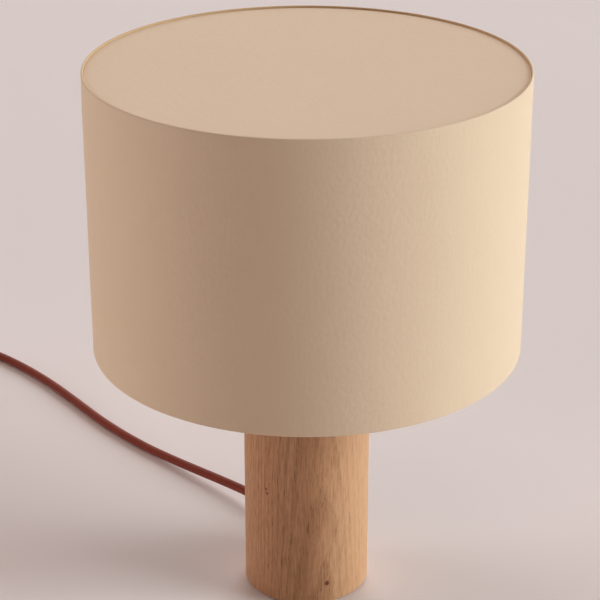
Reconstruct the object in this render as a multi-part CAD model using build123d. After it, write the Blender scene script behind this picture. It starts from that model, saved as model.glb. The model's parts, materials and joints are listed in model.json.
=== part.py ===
from build123d import *
import math
import os

# Table lamp in millimetres, +Z up. The origin is where the column's axis meets the table.
# The cord leaves the column at the back, +Y.

# Fits
GLUE_GAP = 0.1
SLIP_FIT = 0.2
RUNNING_FIT = 0.08
TURN_GAP = 0.15

# Oak column and its underside
COLUMN_D = 90.0
COLUMN_H = 204.2
COLUMN_EASE = 1.5
PAD_T = 0.8
PAD_INSET = 2.0
PLATE_T = 3.0
PLATE_WALL = 6.0
PLATE_SCREWS = 3
PLATE_SCREW_D = 3.5
PLATE_SCREW_HEAD_D = 7.0
PLATE_SCREW_L = 14.0
HEAD_SINK = 0.2

# Cord and its way into the column
CORD_D = 7.0
CORD_EXIT_Z = 12.0
BUSH_WALL = 1.3
BUSH_L = 13.0
BUSH_FLANGE_D = 14.0
BUSH_FLANGE_T = 1.6
BUSH_FLANGE_SUNK = 1.2
GRIP_W = 22.0
GRIP_L = 10.0
GRIP_SADDLE_T = 5.5
GRIP_PARTING = 0.4
GRIP_SCREW_D = 3.0
GRIP_SCREW_HEAD_D = 5.6
GRIP_SCREW_HEAD_H = 2.0
GRIP_SCREW_PITCH = 15.0
GRIP_TO_CORD_END = 1.5
RECESS_CLEAR = 1.5

# Threaded tube, its nut and washers
TUBE_D = 10.0
TUBE_BORE_D = 8.0
TUBE_PROUD = 1.5
NUT_ACROSS = 17.0
NUT_H = 5.0
WASHER_D = 21.0
WASHER_T = 1.5
TOP_WASHER_D = 36.0
TOP_WASHER_T = 2.0

# Wires from the cord to the holder
WIRE_D = 2.2
WIRE_SPACING = 3.2
WIRE_BEND = 10.0
WIRE_LEAD = 1.0
WIRE_TOP_BEND = 3.0
WIRE_TOP_TURN = 60.0

# Bulb
CAP_D = 26.0
CAP_H = 19.5
CAP_T = 0.6
TIP_D = 9.0
TIP_H = 2.0
INSULATOR_D = 12.0
INSULATOR_H = 3.3
INSULATOR_PLUG_H = 3.5
GLOBE_D = 60.0
GLOBE_T = 1.0
GLOBE_FLARE = 40.0
GLOBE_IN_CAP = 5.0
BULB_L = 108.0

# Lamp holder
THREAD_CLEAR = 0.4
SHELL_T = 0.5
SHELL_H = 24.0
SLEEVE_T = 2.7
SKIRT_T = 2.6
SKIRT_H = 40.0
SKIRT_LIP_T = 2.0
LIP_CLEAR = 1.5
DOME_H = 19.0
DOME_RIM_H = 7.0
DOME_LEDGE = 1.7
DOME_LEDGE_DEPTH = 4.0
NECK_D = 18.0
NECK_H = 2.0
NECK_BORE_H = 6.5
INSERT_H = 12.0
TERMINAL_PITCH = 17.0
TERMINAL_HEAD_D = 5.2
TERMINAL_HEAD_H = 2.0
TERMINAL_SHANK_D = 3.0
TERMINAL_SHANK_L = 7.0
CONTACT_T = 0.8
CONTACT_W = 6.0
CONTACT_REACH = 4.0
CONTACT_FOOT = 5.0
CONTACT_RISE = 3.2
FLANGE_UP = 9.0
FLANGE_W = 6.0
FLANGE_T = 3.0
SHADE_RING_H = 8.0
SHADE_RING_T = 5.0
SHADE_RING_BRIM_T = 2.2
SHADE_RING_BRIM_W = 3.0

# Drum shade
SHADE_D = 300.0
SHADE_H = 200.0
COVER_T = 0.7
LINING_T = 0.6
SEAM_W = 10.0
SEAM_T = 0.4
SEAM_ANGLE = 83.0
WIRE_RING_D = 3.0
RING_INSET = 4.0
CARRIER_RISE = 43.0
CARRIER_RING_T = 2.0
CARRIER_RING_OVERLAP = 4.0
CARRIER_GAP = 0.4
ARM_D = 3.5
ARM_ANGLES = (60.0, 180.0, 300.0)
ARM_WELD = 1.0

# Top panel of the shade
PANEL_RECESS = 1.5
PANEL_GAP = 0.4
PANEL_BOARD_T = 1.4
PANEL_CLOTH_T = 0.5

# In-line switch, lying along X
SWITCH_X = -236.0
SWITCH_Y = 468.0
SWITCH_L = 62.0
SWITCH_W = 26.0
SWITCH_H = 17.0
SWITCH_AXIS_Z = 7.5
SWITCH_CORNER = 9.0
SWITCH_EASE = 1.5
SWITCH_WALL = 2.0
SWITCH_CORD_IN = 8.0
ROCKER_L = 16.4
ROCKER_W = 10.4
ROCKER_TOP = 4.6
ROCKER_DIP = 1.0
ROCKER_SIDE = 3.1
ROCKER_KEEL = 3.0
ROCKER_KEEL_W = 6.0
ROCKER_TILT = 8.0
ROCKER_SIDE_GAP = 0.5
ROCKER_END_GAP = 1.1
PIVOT_D = 2.4
PIVOT_DROP = 2.4
EAR_T = 3.0
EAR_W = 5.2
EAR_BELOW = 1.8
SWITCH_SCREW_D = 2.4
SWITCH_SCREW_HEAD_D = 4.6
SWITCH_SCREW_HEAD_H = 1.6
SWITCH_SCREW_L = 11.0
SWITCH_SCREW_X = 22.0
SWITCH_SCREW_Y = 7.2
SWITCH_BOSS_D = 6.4
TERMINAL_BLOCK_L = 9.0
TERMINAL_BLOCK_W = 8.0
TERMINAL_BLOCK_H = 4.0
CONTACT_OPEN = 1.0
STRIP_T = 0.6
STRIP_W = 5.0

# Coil of the cord that is put away, and its tie
COIL_OUTER_R = 47.6
COIL_PITCH = 7.6
COIL_LAYER = 7.5
COIL_QUARTERS = 18
COIL_STRAIGHT = 7.0
COIL_SAMPLES = 12
TIE_W = 12.0
TIE_T = 0.8
TIE_CLEAR = 0.3

# Two-pin plug, pointing along +X
PLUG_X = -258.0
PLUG_L = 36.0
PLUG_W = 35.3
PLUG_T = 13.7
PLUG_REAR_W = 16.0
PLUG_EASE = 1.5
PLUG_LIFT = 0.15
PIN_D = 4.0
PIN_L = 19.0
PIN_PITCH = 18.6
PIN_IN = 8.0
PIN_EASE = 1.2
RELIEF_L = 28.0
RELIEF_THIN_D = 9.6
RELIEF_THICK_D = 12.0
RELIEF_CORD_IN = 9.0
RELIEF_GROOVES = 4
RELIEF_GROOVE_W = 1.4
RELIEF_GROOVE_DEPTH = 0.7

# Heights, from the table up
COLUMN_Z = PAD_T
PLATE_TOP = COLUMN_Z + PLATE_T
TUBE_Z = CORD_EXIT_Z + WIRE_BEND
RECESS_TOP = TUBE_Z + TUBE_PROUD + NUT_H + WASHER_T
COLUMN_TOP = COLUMN_Z + COLUMN_H
HOLDER_Z = COLUMN_TOP + TOP_WASHER_T
DOME_TOP = HOLDER_Z + DOME_H
INSERT_Z = DOME_TOP - DOME_LEDGE_DEPTH
INSERT_TOP = INSERT_Z + INSERT_H
CONTACT_TOP = INSERT_TOP + CONTACT_T + CONTACT_RISE
FLANGE_Z = DOME_TOP + FLANGE_UP
CARRIER_Z = FLANGE_Z + FLANGE_T + TURN_GAP
SHADE_RING_Z = CARRIER_Z + CARRIER_RING_T + TURN_GAP
BOTTOM_RING_Z = CARRIER_Z + CARRIER_RING_T / 2 - CARRIER_RISE
SHADE_Z = BOTTOM_RING_Z - RING_INSET
SHADE_TOP = SHADE_Z + SHADE_H
PANEL_Z = SHADE_TOP - PANEL_RECESS - PANEL_CLOTH_T - PANEL_BOARD_T
TOP_RING_Z = PANEL_Z - GLUE_GAP - WIRE_RING_D / 2
TIP_Z = CONTACT_TOP + SLIP_FIT
CAP_Z = TIP_Z + TIP_H + INSULATOR_H
SWITCH_FLOOR = SWITCH_WALL
ROCKER_Z = SWITCH_H - SWITCH_WALL - PIVOT_DROP
PLUG_Z = PLUG_T / 2 + PLUG_LIFT
CORD_LIES_Z = CORD_D / 2 + GLUE_GAP
COIL_Z = CORD_D / 2 + TIE_CLEAR + TIE_T

# Radii and distances that follow
COLUMN_R = COLUMN_D / 2
CORD_R = CORD_D / 2
BUSH_BARREL_R = CORD_R + SLIP_FIT + BUSH_WALL
BUSH_SEAT_Y = COLUMN_R - BUSH_FLANGE_SUNK
BUSH_FACE_Y = BUSH_SEAT_Y + BUSH_FLANGE_T
CORD_END_Y = WIRE_BEND + WIRE_LEAD
GRIP_Y = CORD_END_Y + GRIP_TO_CORD_END
RECESS_R = math.hypot(GRIP_Y + GRIP_L, GRIP_W / 2) + RECESS_CLEAR
PLATE_SEAT_R = COLUMN_R - PLATE_WALL
PLATE_SCREW_R = (RECESS_R + PLATE_SEAT_R) / 2
CAP_R = CAP_D / 2
SHELL_IN_R = CAP_R + THREAD_CLEAR
SLEEVE_IN_R = SHELL_IN_R + SHELL_T + GLUE_GAP
SLEEVE_R = SLEEVE_IN_R + SLEEVE_T
INSERT_R = SLEEVE_R + SLIP_FIT
SKIRT_IN_R = INSERT_R + SLIP_FIT
SKIRT_R = SKIRT_IN_R + SKIRT_T
FLANGE_R = SKIRT_R + FLANGE_W
CARRIER_IN_R = SKIRT_R + CARRIER_GAP
CARRIER_R = FLANGE_R + CARRIER_RING_OVERLAP
LINING_R = SHADE_D / 2 - COVER_T - GLUE_GAP
LINING_IN_R = LINING_R - LINING_T
WIRE_RING_R = LINING_IN_R - GLUE_GAP - WIRE_RING_D / 2
PANEL_R = LINING_IN_R - PANEL_GAP
NECK_R = CAP_R - CAP_T - GLUE_GAP

# Places where the cord meets the switch, the coil and the plug
SWITCH_IN_X = SWITCH_X + SWITCH_L / 2 - SWITCH_CORD_IN
SWITCH_OUT_X = SWITCH_X - SWITCH_L / 2 + SWITCH_CORD_IN
COIL_START_X = -302.0
COIL_X = COIL_START_X - COIL_STRAIGHT
COIL_Y = SWITCH_Y - COIL_OUTER_R
COIL_TOP_Z = COIL_Z + COIL_LAYER
PLUG_Y = COIL_Y - COIL_OUTER_R

# The cord's free runs, chosen by hand from the photograph and past its edge
LEAD_ROUTE = [
    (0.0, BUSH_FACE_Y, CORD_EXIT_Z),
    (0.0, 74.0, CORD_EXIT_Z),
    (-4.5, 104.0, 10.4),
    (-20.5, 139.4, 8.1),
    (-42.0, 183.8, 4.8),
    (-63.5, 226.5, CORD_LIES_Z),
    (-83.0, 276.4, CORD_LIES_Z),
    (-96.5, 325.5, CORD_LIES_Z),
    (-110.5, 373.1, CORD_LIES_Z),
    (-128.0, 416.7, CORD_LIES_Z),
    (-146.0, 450.0, CORD_LIES_Z),
    (-167.0, 463.5, 4.2),
    (-191.0, SWITCH_Y, SWITCH_AXIS_Z),
    (SWITCH_IN_X, SWITCH_Y, SWITCH_AXIS_Z),
]
TAIL_ROUTE = [
    (SWITCH_OUT_X, SWITCH_Y, SWITCH_AXIS_Z),
    (-274.0, SWITCH_Y, SWITCH_AXIS_Z),
    (-289.0, SWITCH_Y, COIL_Z),
    (COIL_START_X, SWITCH_Y, COIL_Z),
]
END_ROUTE = [
    (COIL_START_X, PLUG_Y, COIL_TOP_Z),
    (-286.0, PLUG_Y, COIL_TOP_Z),
    (-268.0, PLUG_Y, PLUG_Z),
    (PLUG_X + RELIEF_CORD_IN, PLUG_Y, PLUG_Z),
]
BEND_SHARE = 0.45


def ring(outer_r, z0, z1, inner_r=0.0):
    """Upright disc, or ring where it has an inner radius, between two heights."""
    middle = Pos(0, 0, (z0 + z1) / 2)
    body = middle * Cylinder(outer_r, z1 - z0)
    if inner_r:
        body -= middle * Cylinder(inner_r, z1 - z0)
    return body


def turned(*outline):
    """Solid turned about Z from a closed outline of radius and height pairs."""
    edges = Polyline(*[(r, 0, z) for r, z in outline], close=True)
    return revolve(make_face(edges), Axis.Z)


def rod(start, end, d):
    """Round rod from one point to another."""
    along = Vector(*end) - Vector(*start)
    return Part() + Solid.make_cylinder(d / 2, along.length, Plane(origin=start, z_dir=along))


def block(x0, x1, y0, y1, z0, z1):
    """Square block between two corners."""
    middle = Pos((x0 + x1) / 2, (y0 + y1) / 2, (z0 + z1) / 2)
    return middle * Box(x1 - x0, y1 - y0, z1 - z0)


def around(radius, count, first=0.0):
    """Places spaced evenly round the lamp's axis."""
    return [Rot(0, 0, first + 360 * i / count) * Pos(radius, 0, 0) for i in range(count)]


def bend_radii(points):
    """Largest tangent arc for each inner point of a route, from its two runs and its turn."""
    corners = [Vector(*p) for p in points]
    radii = []
    for before, here, after in zip(corners, corners[1:], corners[2:]):
        turn = math.radians((here - before).get_angle(after - here))
        run = min((here - before).length, (after - here).length)
        radii.append(BEND_SHARE * run / math.tan(turn / 2))
    return radii


def swept(name, path, d):
    """Round tube along a path, with its volume set against section times length."""
    start = Plane(origin=path @ 0, z_dir=path % 0)
    tube = sweep(start * Circle(d / 2), path=path)
    share = tube.volume / (math.pi * d * d / 4 * path.length)
    print(f"{name}: length {path.length:.1f} mm, volume {share:.4f} of section times length")
    return tube


def cord_run(name, points):
    """Free run of the cord: straight runs joined by tangent arcs."""
    radii = bend_radii(points)
    print(f"{name}: bend radii " + " ".join(f"{r:.0f}" for r in radii))
    return swept(name, FilletPolyline(*points, radius=radii), CORD_D)


def foot():
    """Felt pad, closing plate and its screws."""
    seats = around(PLATE_SCREW_R, PLATE_SCREWS, 30)
    head_h = (PLATE_SCREW_HEAD_D - PLATE_SCREW_D) / 2
    head_z = COLUMN_Z + HEAD_SINK
    shank_r = PLATE_SCREW_D / 2
    plate = ring(PLATE_SEAT_R - SLIP_FIT, COLUMN_Z, PLATE_TOP)
    screw = turned(
        (0, head_z),
        (PLATE_SCREW_HEAD_D / 2, head_z),
        (shank_r, head_z + head_h),
        (shank_r, head_z + PLATE_SCREW_L - shank_r),
        (0, head_z + PLATE_SCREW_L),
    )
    sunk = turned(
        (0, COLUMN_Z),
        (PLATE_SCREW_HEAD_D / 2 + SLIP_FIT, COLUMN_Z),
        (PLATE_SCREW_HEAD_D / 2 + SLIP_FIT, head_z),
        (shank_r + SLIP_FIT, head_z + head_h),
        (shank_r + SLIP_FIT, PLATE_TOP),
        (0, PLATE_TOP),
    )
    plate -= [seat * sunk for seat in seats]
    plate -= [seat * grip_screw_hole(COLUMN_Z, PLATE_TOP) for seat in grip_seats()]
    return {
        "foot_pad": ring(COLUMN_R - PAD_INSET, 0, PAD_T),
        "base_plate": plate,
        "plate_screws": Part() + [seat * screw for seat in seats],
    }


def oak_column():
    """Solid column with bore, underside recess, plate seat, screw holes and cord hole."""
    body = ring(COLUMN_R, COLUMN_Z, COLUMN_TOP)
    body = fillet(body.edges().filter_by(GeomType.CIRCLE), COLUMN_EASE)
    body -= ring(TUBE_D / 2 + SLIP_FIT, COLUMN_Z, COLUMN_TOP)
    body -= ring(RECESS_R, COLUMN_Z, RECESS_TOP)
    body -= ring(PLATE_SEAT_R, COLUMN_Z, PLATE_TOP)
    body -= rod((0, 0, CORD_EXIT_Z), (0, COLUMN_R, CORD_EXIT_Z), 2 * (BUSH_BARREL_R + SLIP_FIT))
    flange_d = BUSH_FLANGE_D + 2 * SLIP_FIT
    body -= rod((0, BUSH_SEAT_Y, CORD_EXIT_Z), (0, 2 * COLUMN_R, CORD_EXIT_Z), flange_d)
    screw_top = COLUMN_Z + HEAD_SINK + PLATE_SCREW_L
    pilot = ring(PLATE_SCREW_D / 2 + GLUE_GAP, PLATE_TOP, screw_top + SLIP_FIT)
    body -= [seat * pilot for seat in around(PLATE_SCREW_R, PLATE_SCREWS, 30)]
    return {"oak_column": body}


def grip_seats():
    """Places of the two grip screws, on either side of the cord."""
    y = GRIP_Y + GRIP_L / 2
    return [Pos(side * GRIP_SCREW_PITCH / 2, y, 0) for side in (-1, 1)]


def grip_screw_hole(z0, z1):
    """Clearance hole for a grip screw between two heights."""
    return ring(GRIP_SCREW_D / 2 + GLUE_GAP, z0, z1)


def cord_inlet():
    """Bush in the column's hole, the cord's held end and the grip that clamps it."""
    y0, y1 = GRIP_Y, GRIP_Y + GRIP_L
    split = GRIP_PARTING / 2
    saddle_top = CORD_EXIT_Z + split + GRIP_SADDLE_T
    groove = rod((0, y0, CORD_EXIT_Z), (0, y1, CORD_EXIT_Z), CORD_D + 2 * GLUE_GAP)
    lower = block(-GRIP_W / 2, GRIP_W / 2, y0, y1, PLATE_TOP, CORD_EXIT_Z - split)
    upper = block(-GRIP_W / 2, GRIP_W / 2, y0, y1, CORD_EXIT_Z + split, saddle_top)
    holes = [seat * grip_screw_hole(COLUMN_Z, saddle_top) for seat in grip_seats()]
    screw = ring(GRIP_SCREW_D / 2, COLUMN_Z + HEAD_SINK, saddle_top)
    screw += ring(GRIP_SCREW_HEAD_D / 2, saddle_top, saddle_top + GRIP_SCREW_HEAD_H)
    bore_d = CORD_D + 2 * SLIP_FIT
    bush = rod((0, BUSH_SEAT_Y - BUSH_L, CORD_EXIT_Z), (0, BUSH_SEAT_Y, CORD_EXIT_Z), 2 * BUSH_BARREL_R)
    bush += rod((0, BUSH_SEAT_Y, CORD_EXIT_Z), (0, BUSH_FACE_Y, CORD_EXIT_Z), BUSH_FLANGE_D)
    bush -= rod((0, BUSH_SEAT_Y - BUSH_L, CORD_EXIT_Z), (0, BUSH_FACE_Y, CORD_EXIT_Z), bore_d)
    return {
        "cord_bush": bush,
        "cord_held_end": rod((0, CORD_END_Y, CORD_EXIT_Z), (0, BUSH_FACE_Y, CORD_EXIT_Z), CORD_D),
        "grip_block": lower - groove - holes,
        "grip_saddle": upper - groove - holes,
        "grip_screws": Part() + [seat * screw for seat in grip_seats()],
    }


def tube_and_wires():
    """Threaded tube with its nut and washers, and the two wires that run up it."""
    tube_r = TUBE_D / 2
    tube_top = HOLDER_Z + NECK_BORE_H
    nut_z = TUBE_Z + TUBE_PROUD
    nut = Pos(0, 0, nut_z) * extrude(RegularPolygon(NUT_ACROSS / 2, 6, major_radius=False), NUT_H)
    made = {
        "threaded_tube": ring(tube_r, TUBE_Z, tube_top, TUBE_BORE_D / 2),
        "tube_nut": nut - ring(tube_r + GLUE_GAP, nut_z, nut_z + NUT_H),
        "tube_washer": ring(WASHER_D / 2, nut_z + NUT_H, RECESS_TOP, tube_r + GLUE_GAP),
        "top_washer": ring(TOP_WASHER_D / 2, COLUMN_TOP, HOLDER_Z, tube_r + GLUE_GAP),
    }
    for name, side in (("live_wire", 1), ("neutral_wire", -1)):
        x = side * WIRE_SPACING / 2
        end_x = side * TERMINAL_PITCH / 2
        end_z = INSERT_Z - TERMINAL_HEAD_H - WIRE_D / 2 - GLUE_GAP
        spread = (TERMINAL_PITCH - WIRE_SPACING) / 2
        turn_z = end_z - spread / math.tan(math.radians(WIRE_TOP_TURN))
        route = [(x, CORD_END_Y, CORD_EXIT_Z), (x, 0, CORD_EXIT_Z), (x, 0, turn_z), (end_x, 0, end_z)]
        made[name] = swept(name, FilletPolyline(*route, radius=[WIRE_BEND, WIRE_TOP_BEND]), WIRE_D)
    return made


def lamp_holder():
    """Holder for a screw bulb, on top of the column, with the ring that holds the shade."""
    ledge_r = INSERT_R + SLIP_FIT - DOME_LEDGE
    cone_z = HOLDER_Z + NECK_H
    bore_r = TUBE_D / 2 + GLUE_GAP
    dome = turned(
        (bore_r, HOLDER_Z),
        (NECK_D / 2, HOLDER_Z),
        (NECK_D / 2, cone_z),
        (SKIRT_R, DOME_TOP - DOME_RIM_H),
        (SKIRT_R, DOME_TOP),
        (SKIRT_IN_R, DOME_TOP),
        (SKIRT_IN_R, INSERT_Z),
        (ledge_r, INSERT_Z),
        (ledge_r, DOME_TOP - DOME_RIM_H),
        (NECK_D / 2, HOLDER_Z + NECK_BORE_H),
        (bore_r, HOLDER_Z + NECK_BORE_H),
    )
    shell_top = INSERT_TOP + SHELL_H
    insert = turned(
        (0, INSERT_Z),
        (INSERT_R, INSERT_Z),
        (INSERT_R, INSERT_TOP),
        (SLEEVE_R, INSERT_TOP),
        (SLEEVE_R, shell_top),
        (SLEEVE_IN_R, shell_top),
        (SLEEVE_IN_R, INSERT_TOP),
        (0, INSERT_TOP),
    )
    shank_r = TERMINAL_SHANK_D / 2
    shank_top = INSERT_Z + TERMINAL_SHANK_L
    seats = around(TERMINAL_PITCH / 2, 2)
    insert -= [seat * ring(shank_r + GLUE_GAP, INSERT_Z, shank_top + GLUE_GAP) for seat in seats]
    terminal = ring(TERMINAL_HEAD_D / 2, INSERT_Z - TERMINAL_HEAD_H, INSERT_Z)
    terminal += ring(shank_r, INSERT_Z, shank_top)
    skirt_top = DOME_TOP + SKIRT_H
    skirt = turned(
        (SKIRT_IN_R, DOME_TOP),
        (SKIRT_R, DOME_TOP),
        (SKIRT_R, FLANGE_Z),
        (FLANGE_R, FLANGE_Z),
        (FLANGE_R, FLANGE_Z + FLANGE_T),
        (SKIRT_R, FLANGE_Z + FLANGE_T),
        (SKIRT_R, skirt_top),
        (CAP_R + LIP_CLEAR, skirt_top),
        (CAP_R + LIP_CLEAR, skirt_top - SKIRT_LIP_T),
        (SKIRT_IN_R, skirt_top - SKIRT_LIP_T),
    )
    ring_in_r = SKIRT_R + GLUE_GAP
    ring_r = ring_in_r + SHADE_RING_T
    brim_r = ring_r + SHADE_RING_BRIM_W
    ring_top = SHADE_RING_Z + SHADE_RING_H
    shade_ring = turned(
        (ring_in_r, SHADE_RING_Z),
        (brim_r, SHADE_RING_Z),
        (brim_r, SHADE_RING_Z + SHADE_RING_BRIM_T),
        (ring_r, SHADE_RING_Z + SHADE_RING_BRIM_T),
        (ring_r, ring_top),
        (ring_in_r, ring_top),
    )
    return {
        "holder_dome": dome,
        "holder_insert": insert,
        "holder_skirt": skirt,
        "screw_shell": ring(SHELL_IN_R + SHELL_T, INSERT_TOP, shell_top, SHELL_IN_R),
        "centre_contact": centre_contact(),
        "terminal_screws": Part() + [seat * terminal for seat in seats],
        "shade_ring": shade_ring,
    }


def centre_contact():
    """Sprung tongue that rises from the insert to the bulb's tip."""
    knee = CONTACT_REACH
    outline = Polyline(
        (-knee - CONTACT_FOOT, 0, INSERT_TOP),
        (-knee, 0, INSERT_TOP),
        (knee, 0, CONTACT_TOP - CONTACT_T),
        (knee, 0, CONTACT_TOP),
        (-knee, 0, INSERT_TOP + CONTACT_T),
        (-knee - CONTACT_FOOT, 0, INSERT_TOP + CONTACT_T),
        close=True,
    )
    return extrude(make_face(outline), CONTACT_W / 2, both=True)


def globe_solid(shrink):
    """Pear-shaped solid of the bulb's glass, drawn in all round by a wall."""
    globe_r = GLOBE_D / 2 - shrink
    neck_r = NECK_R - shrink
    centre_z = TIP_Z + BULB_L - GLOBE_D / 2
    flare = math.radians(GLOBE_FLARE)
    foot_z = CAP_Z + CAP_H - GLOBE_IN_CAP
    meet_r = globe_r * math.cos(flare)
    meet_z = centre_z - globe_r * math.sin(flare)
    neck_z = meet_z - (meet_r - neck_r) / math.tan(flare / 2)
    top = (0, 0, centre_z + globe_r)
    meet = (meet_r, 0, meet_z)
    outline = [
        Line((0, 0, foot_z), (neck_r, 0, foot_z)),
        Line((neck_r, 0, foot_z), (neck_r, 0, neck_z)),
        TangentArc((neck_r, 0, neck_z), meet, tangent=(0, 0, 1)),
        ThreePointArc(meet, (globe_r, 0, centre_z), top),
        Line(top, (0, 0, foot_z)),
    ]
    return revolve(make_face(outline), Axis.Z)


def bulb():
    """Screw bulb: glass globe, cap, insulator and the contact at its tip."""
    insulator = turned(
        (0, CAP_Z - INSULATOR_H),
        (INSULATOR_D / 2, CAP_Z - INSULATOR_H),
        (CAP_R - CAP_T, CAP_Z),
        (CAP_R - CAP_T - GLUE_GAP, CAP_Z),
        (CAP_R - CAP_T - GLUE_GAP, CAP_Z + INSULATOR_PLUG_H),
        (0, CAP_Z + INSULATOR_PLUG_H),
    )
    return {
        "bulb_globe": globe_solid(0) - globe_solid(GLOBE_T),
        "bulb_cap": ring(CAP_R, CAP_Z, CAP_Z + CAP_H, CAP_R - CAP_T),
        "bulb_insulator": insulator,
        "bulb_tip": ring(TIP_D / 2, TIP_Z, TIP_Z + TIP_H),
    }


def wire_ring(z):
    """Round wire ring that stiffens the shade at one height."""
    return Pos(0, 0, z) * Torus(WIRE_RING_R, WIRE_RING_D / 2)


def drum_shade():
    """Cotton cover on a stiff lining, its seam, wire rings and the carrier to the holder."""
    cover_r = SHADE_D / 2
    half_seam = math.degrees(SEAM_W / 2 / cover_r)
    seam = ring(cover_r + SEAM_T, SHADE_Z, SHADE_TOP, cover_r)
    wedge = [(0, 0)]
    for edge in (-half_seam, half_seam):
        angle = math.radians(SEAM_ANGLE + edge)
        wedge.append((2 * cover_r * math.cos(angle), 2 * cover_r * math.sin(angle)))
    seam &= Pos(0, 0, SHADE_Z) * extrude(make_face(Polyline(*wedge, close=True)), SHADE_H)
    carrier_ring = ring(CARRIER_R, CARRIER_Z, CARRIER_Z + CARRIER_RING_T, CARRIER_IN_R)
    made = {
        "shade_cover": ring(cover_r, SHADE_Z, SHADE_TOP, cover_r - COVER_T),
        "shade_seam": seam,
        "shade_lining": ring(LINING_R, SHADE_Z, SHADE_TOP, LINING_IN_R),
        "top_wire_ring": wire_ring(TOP_RING_Z),
        "bottom_wire_ring": wire_ring(BOTTOM_RING_Z),
        "carrier_ring": carrier_ring,
    }
    inner = (CARRIER_R - ARM_WELD, 0, CARRIER_Z + CARRIER_RING_T / 2)
    outer = (WIRE_RING_R, 0, BOTTOM_RING_Z)
    arm = rod(inner, outer, ARM_D) - carrier_ring - wire_ring(BOTTOM_RING_Z)
    for number, angle in enumerate(ARM_ANGLES, 1):
        made[f"carrier_arm_{number}"] = Rot(0, 0, angle) * max(arm.solids(), key=lambda s: s.volume)
    return made


def top_panel():
    """Stiff board with its cloth, lying on the top ring inside the rim."""
    board_top = PANEL_Z + PANEL_BOARD_T
    return {
        "panel_board": ring(PANEL_R, PANEL_Z, board_top),
        "panel_cloth": ring(PANEL_R, board_top, board_top + PANEL_CLOTH_T),
    }


def switch_box(z0, z1, wall=0.0):
    """Rounded box in the switch's plan, drawn in all round by a wall."""
    plan = RectangleRounded(SWITCH_L - 2 * wall, SWITCH_W - 2 * wall, SWITCH_CORNER - wall)
    return Pos(0, 0, z0) * extrude(plan, z1 - z0)


def switch_seats():
    """Places of the two screws that close the switch, at opposite corners."""
    return [Pos(side * SWITCH_SCREW_X, side * SWITCH_SCREW_Y, 0) for side in (-1, 1)]


def switch_shells():
    """Lower and upper shells of the switch, with bosses, cord holes and rocker window."""
    screw_r = SWITCH_SCREW_D / 2 + GLUE_GAP
    head_r = SWITCH_SCREW_HEAD_D / 2 + SLIP_FIT
    head_top = HEAD_SINK + SWITCH_SCREW_HEAD_H
    hole_top = head_top + SWITCH_SCREW_L + SLIP_FIT
    ceiling = SWITCH_H - SWITCH_WALL
    boss_r = SWITCH_BOSS_D / 2
    cord_hole = rod(
        (-SWITCH_L, 0, SWITCH_AXIS_Z), (SWITCH_L, 0, SWITCH_AXIS_Z), CORD_D + 2 * SLIP_FIT
    )
    drill = ring(screw_r, 0, hole_top) + ring(head_r, 0, head_top)
    drills = [seat * drill for seat in switch_seats()]
    lower = switch_box(0, SWITCH_AXIS_Z)
    lower = fillet(lower.edges().group_by(Axis.Z)[0], SWITCH_EASE)
    lower -= switch_box(SWITCH_FLOOR, SWITCH_AXIS_Z, SWITCH_WALL)
    lower += [seat * ring(boss_r, SWITCH_FLOOR, SWITCH_AXIS_Z) for seat in switch_seats()]
    upper = switch_box(SWITCH_AXIS_Z, SWITCH_H)
    upper = fillet(upper.edges().group_by(Axis.Z)[-1], SWITCH_EASE)
    upper -= switch_box(SWITCH_AXIS_Z, ceiling, SWITCH_WALL)
    upper += [seat * ring(boss_r, SWITCH_AXIS_Z, ceiling) for seat in switch_seats()]
    half_window = ROCKER_L / 2 + ROCKER_END_GAP
    half_width = ROCKER_W / 2 + ROCKER_SIDE_GAP
    upper -= block(-half_window, half_window, -half_width, half_width, ceiling, SWITCH_H)
    ear_z = ROCKER_Z - EAR_BELOW
    for side in (-1, 1):
        near, far = sorted((side * half_width, side * (half_width + EAR_T)))
        upper += block(-EAR_W / 2, EAR_W / 2, near, far, ear_z, ceiling)
    reach = half_width + EAR_T
    upper -= rod((0, -reach, ROCKER_Z), (0, reach, ROCKER_Z), PIVOT_D + 2 * GLUE_GAP)
    return {
        "switch_lower_shell": lower - cord_hole - drills,
        "switch_upper_shell": upper - cord_hole - drills,
    }


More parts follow.
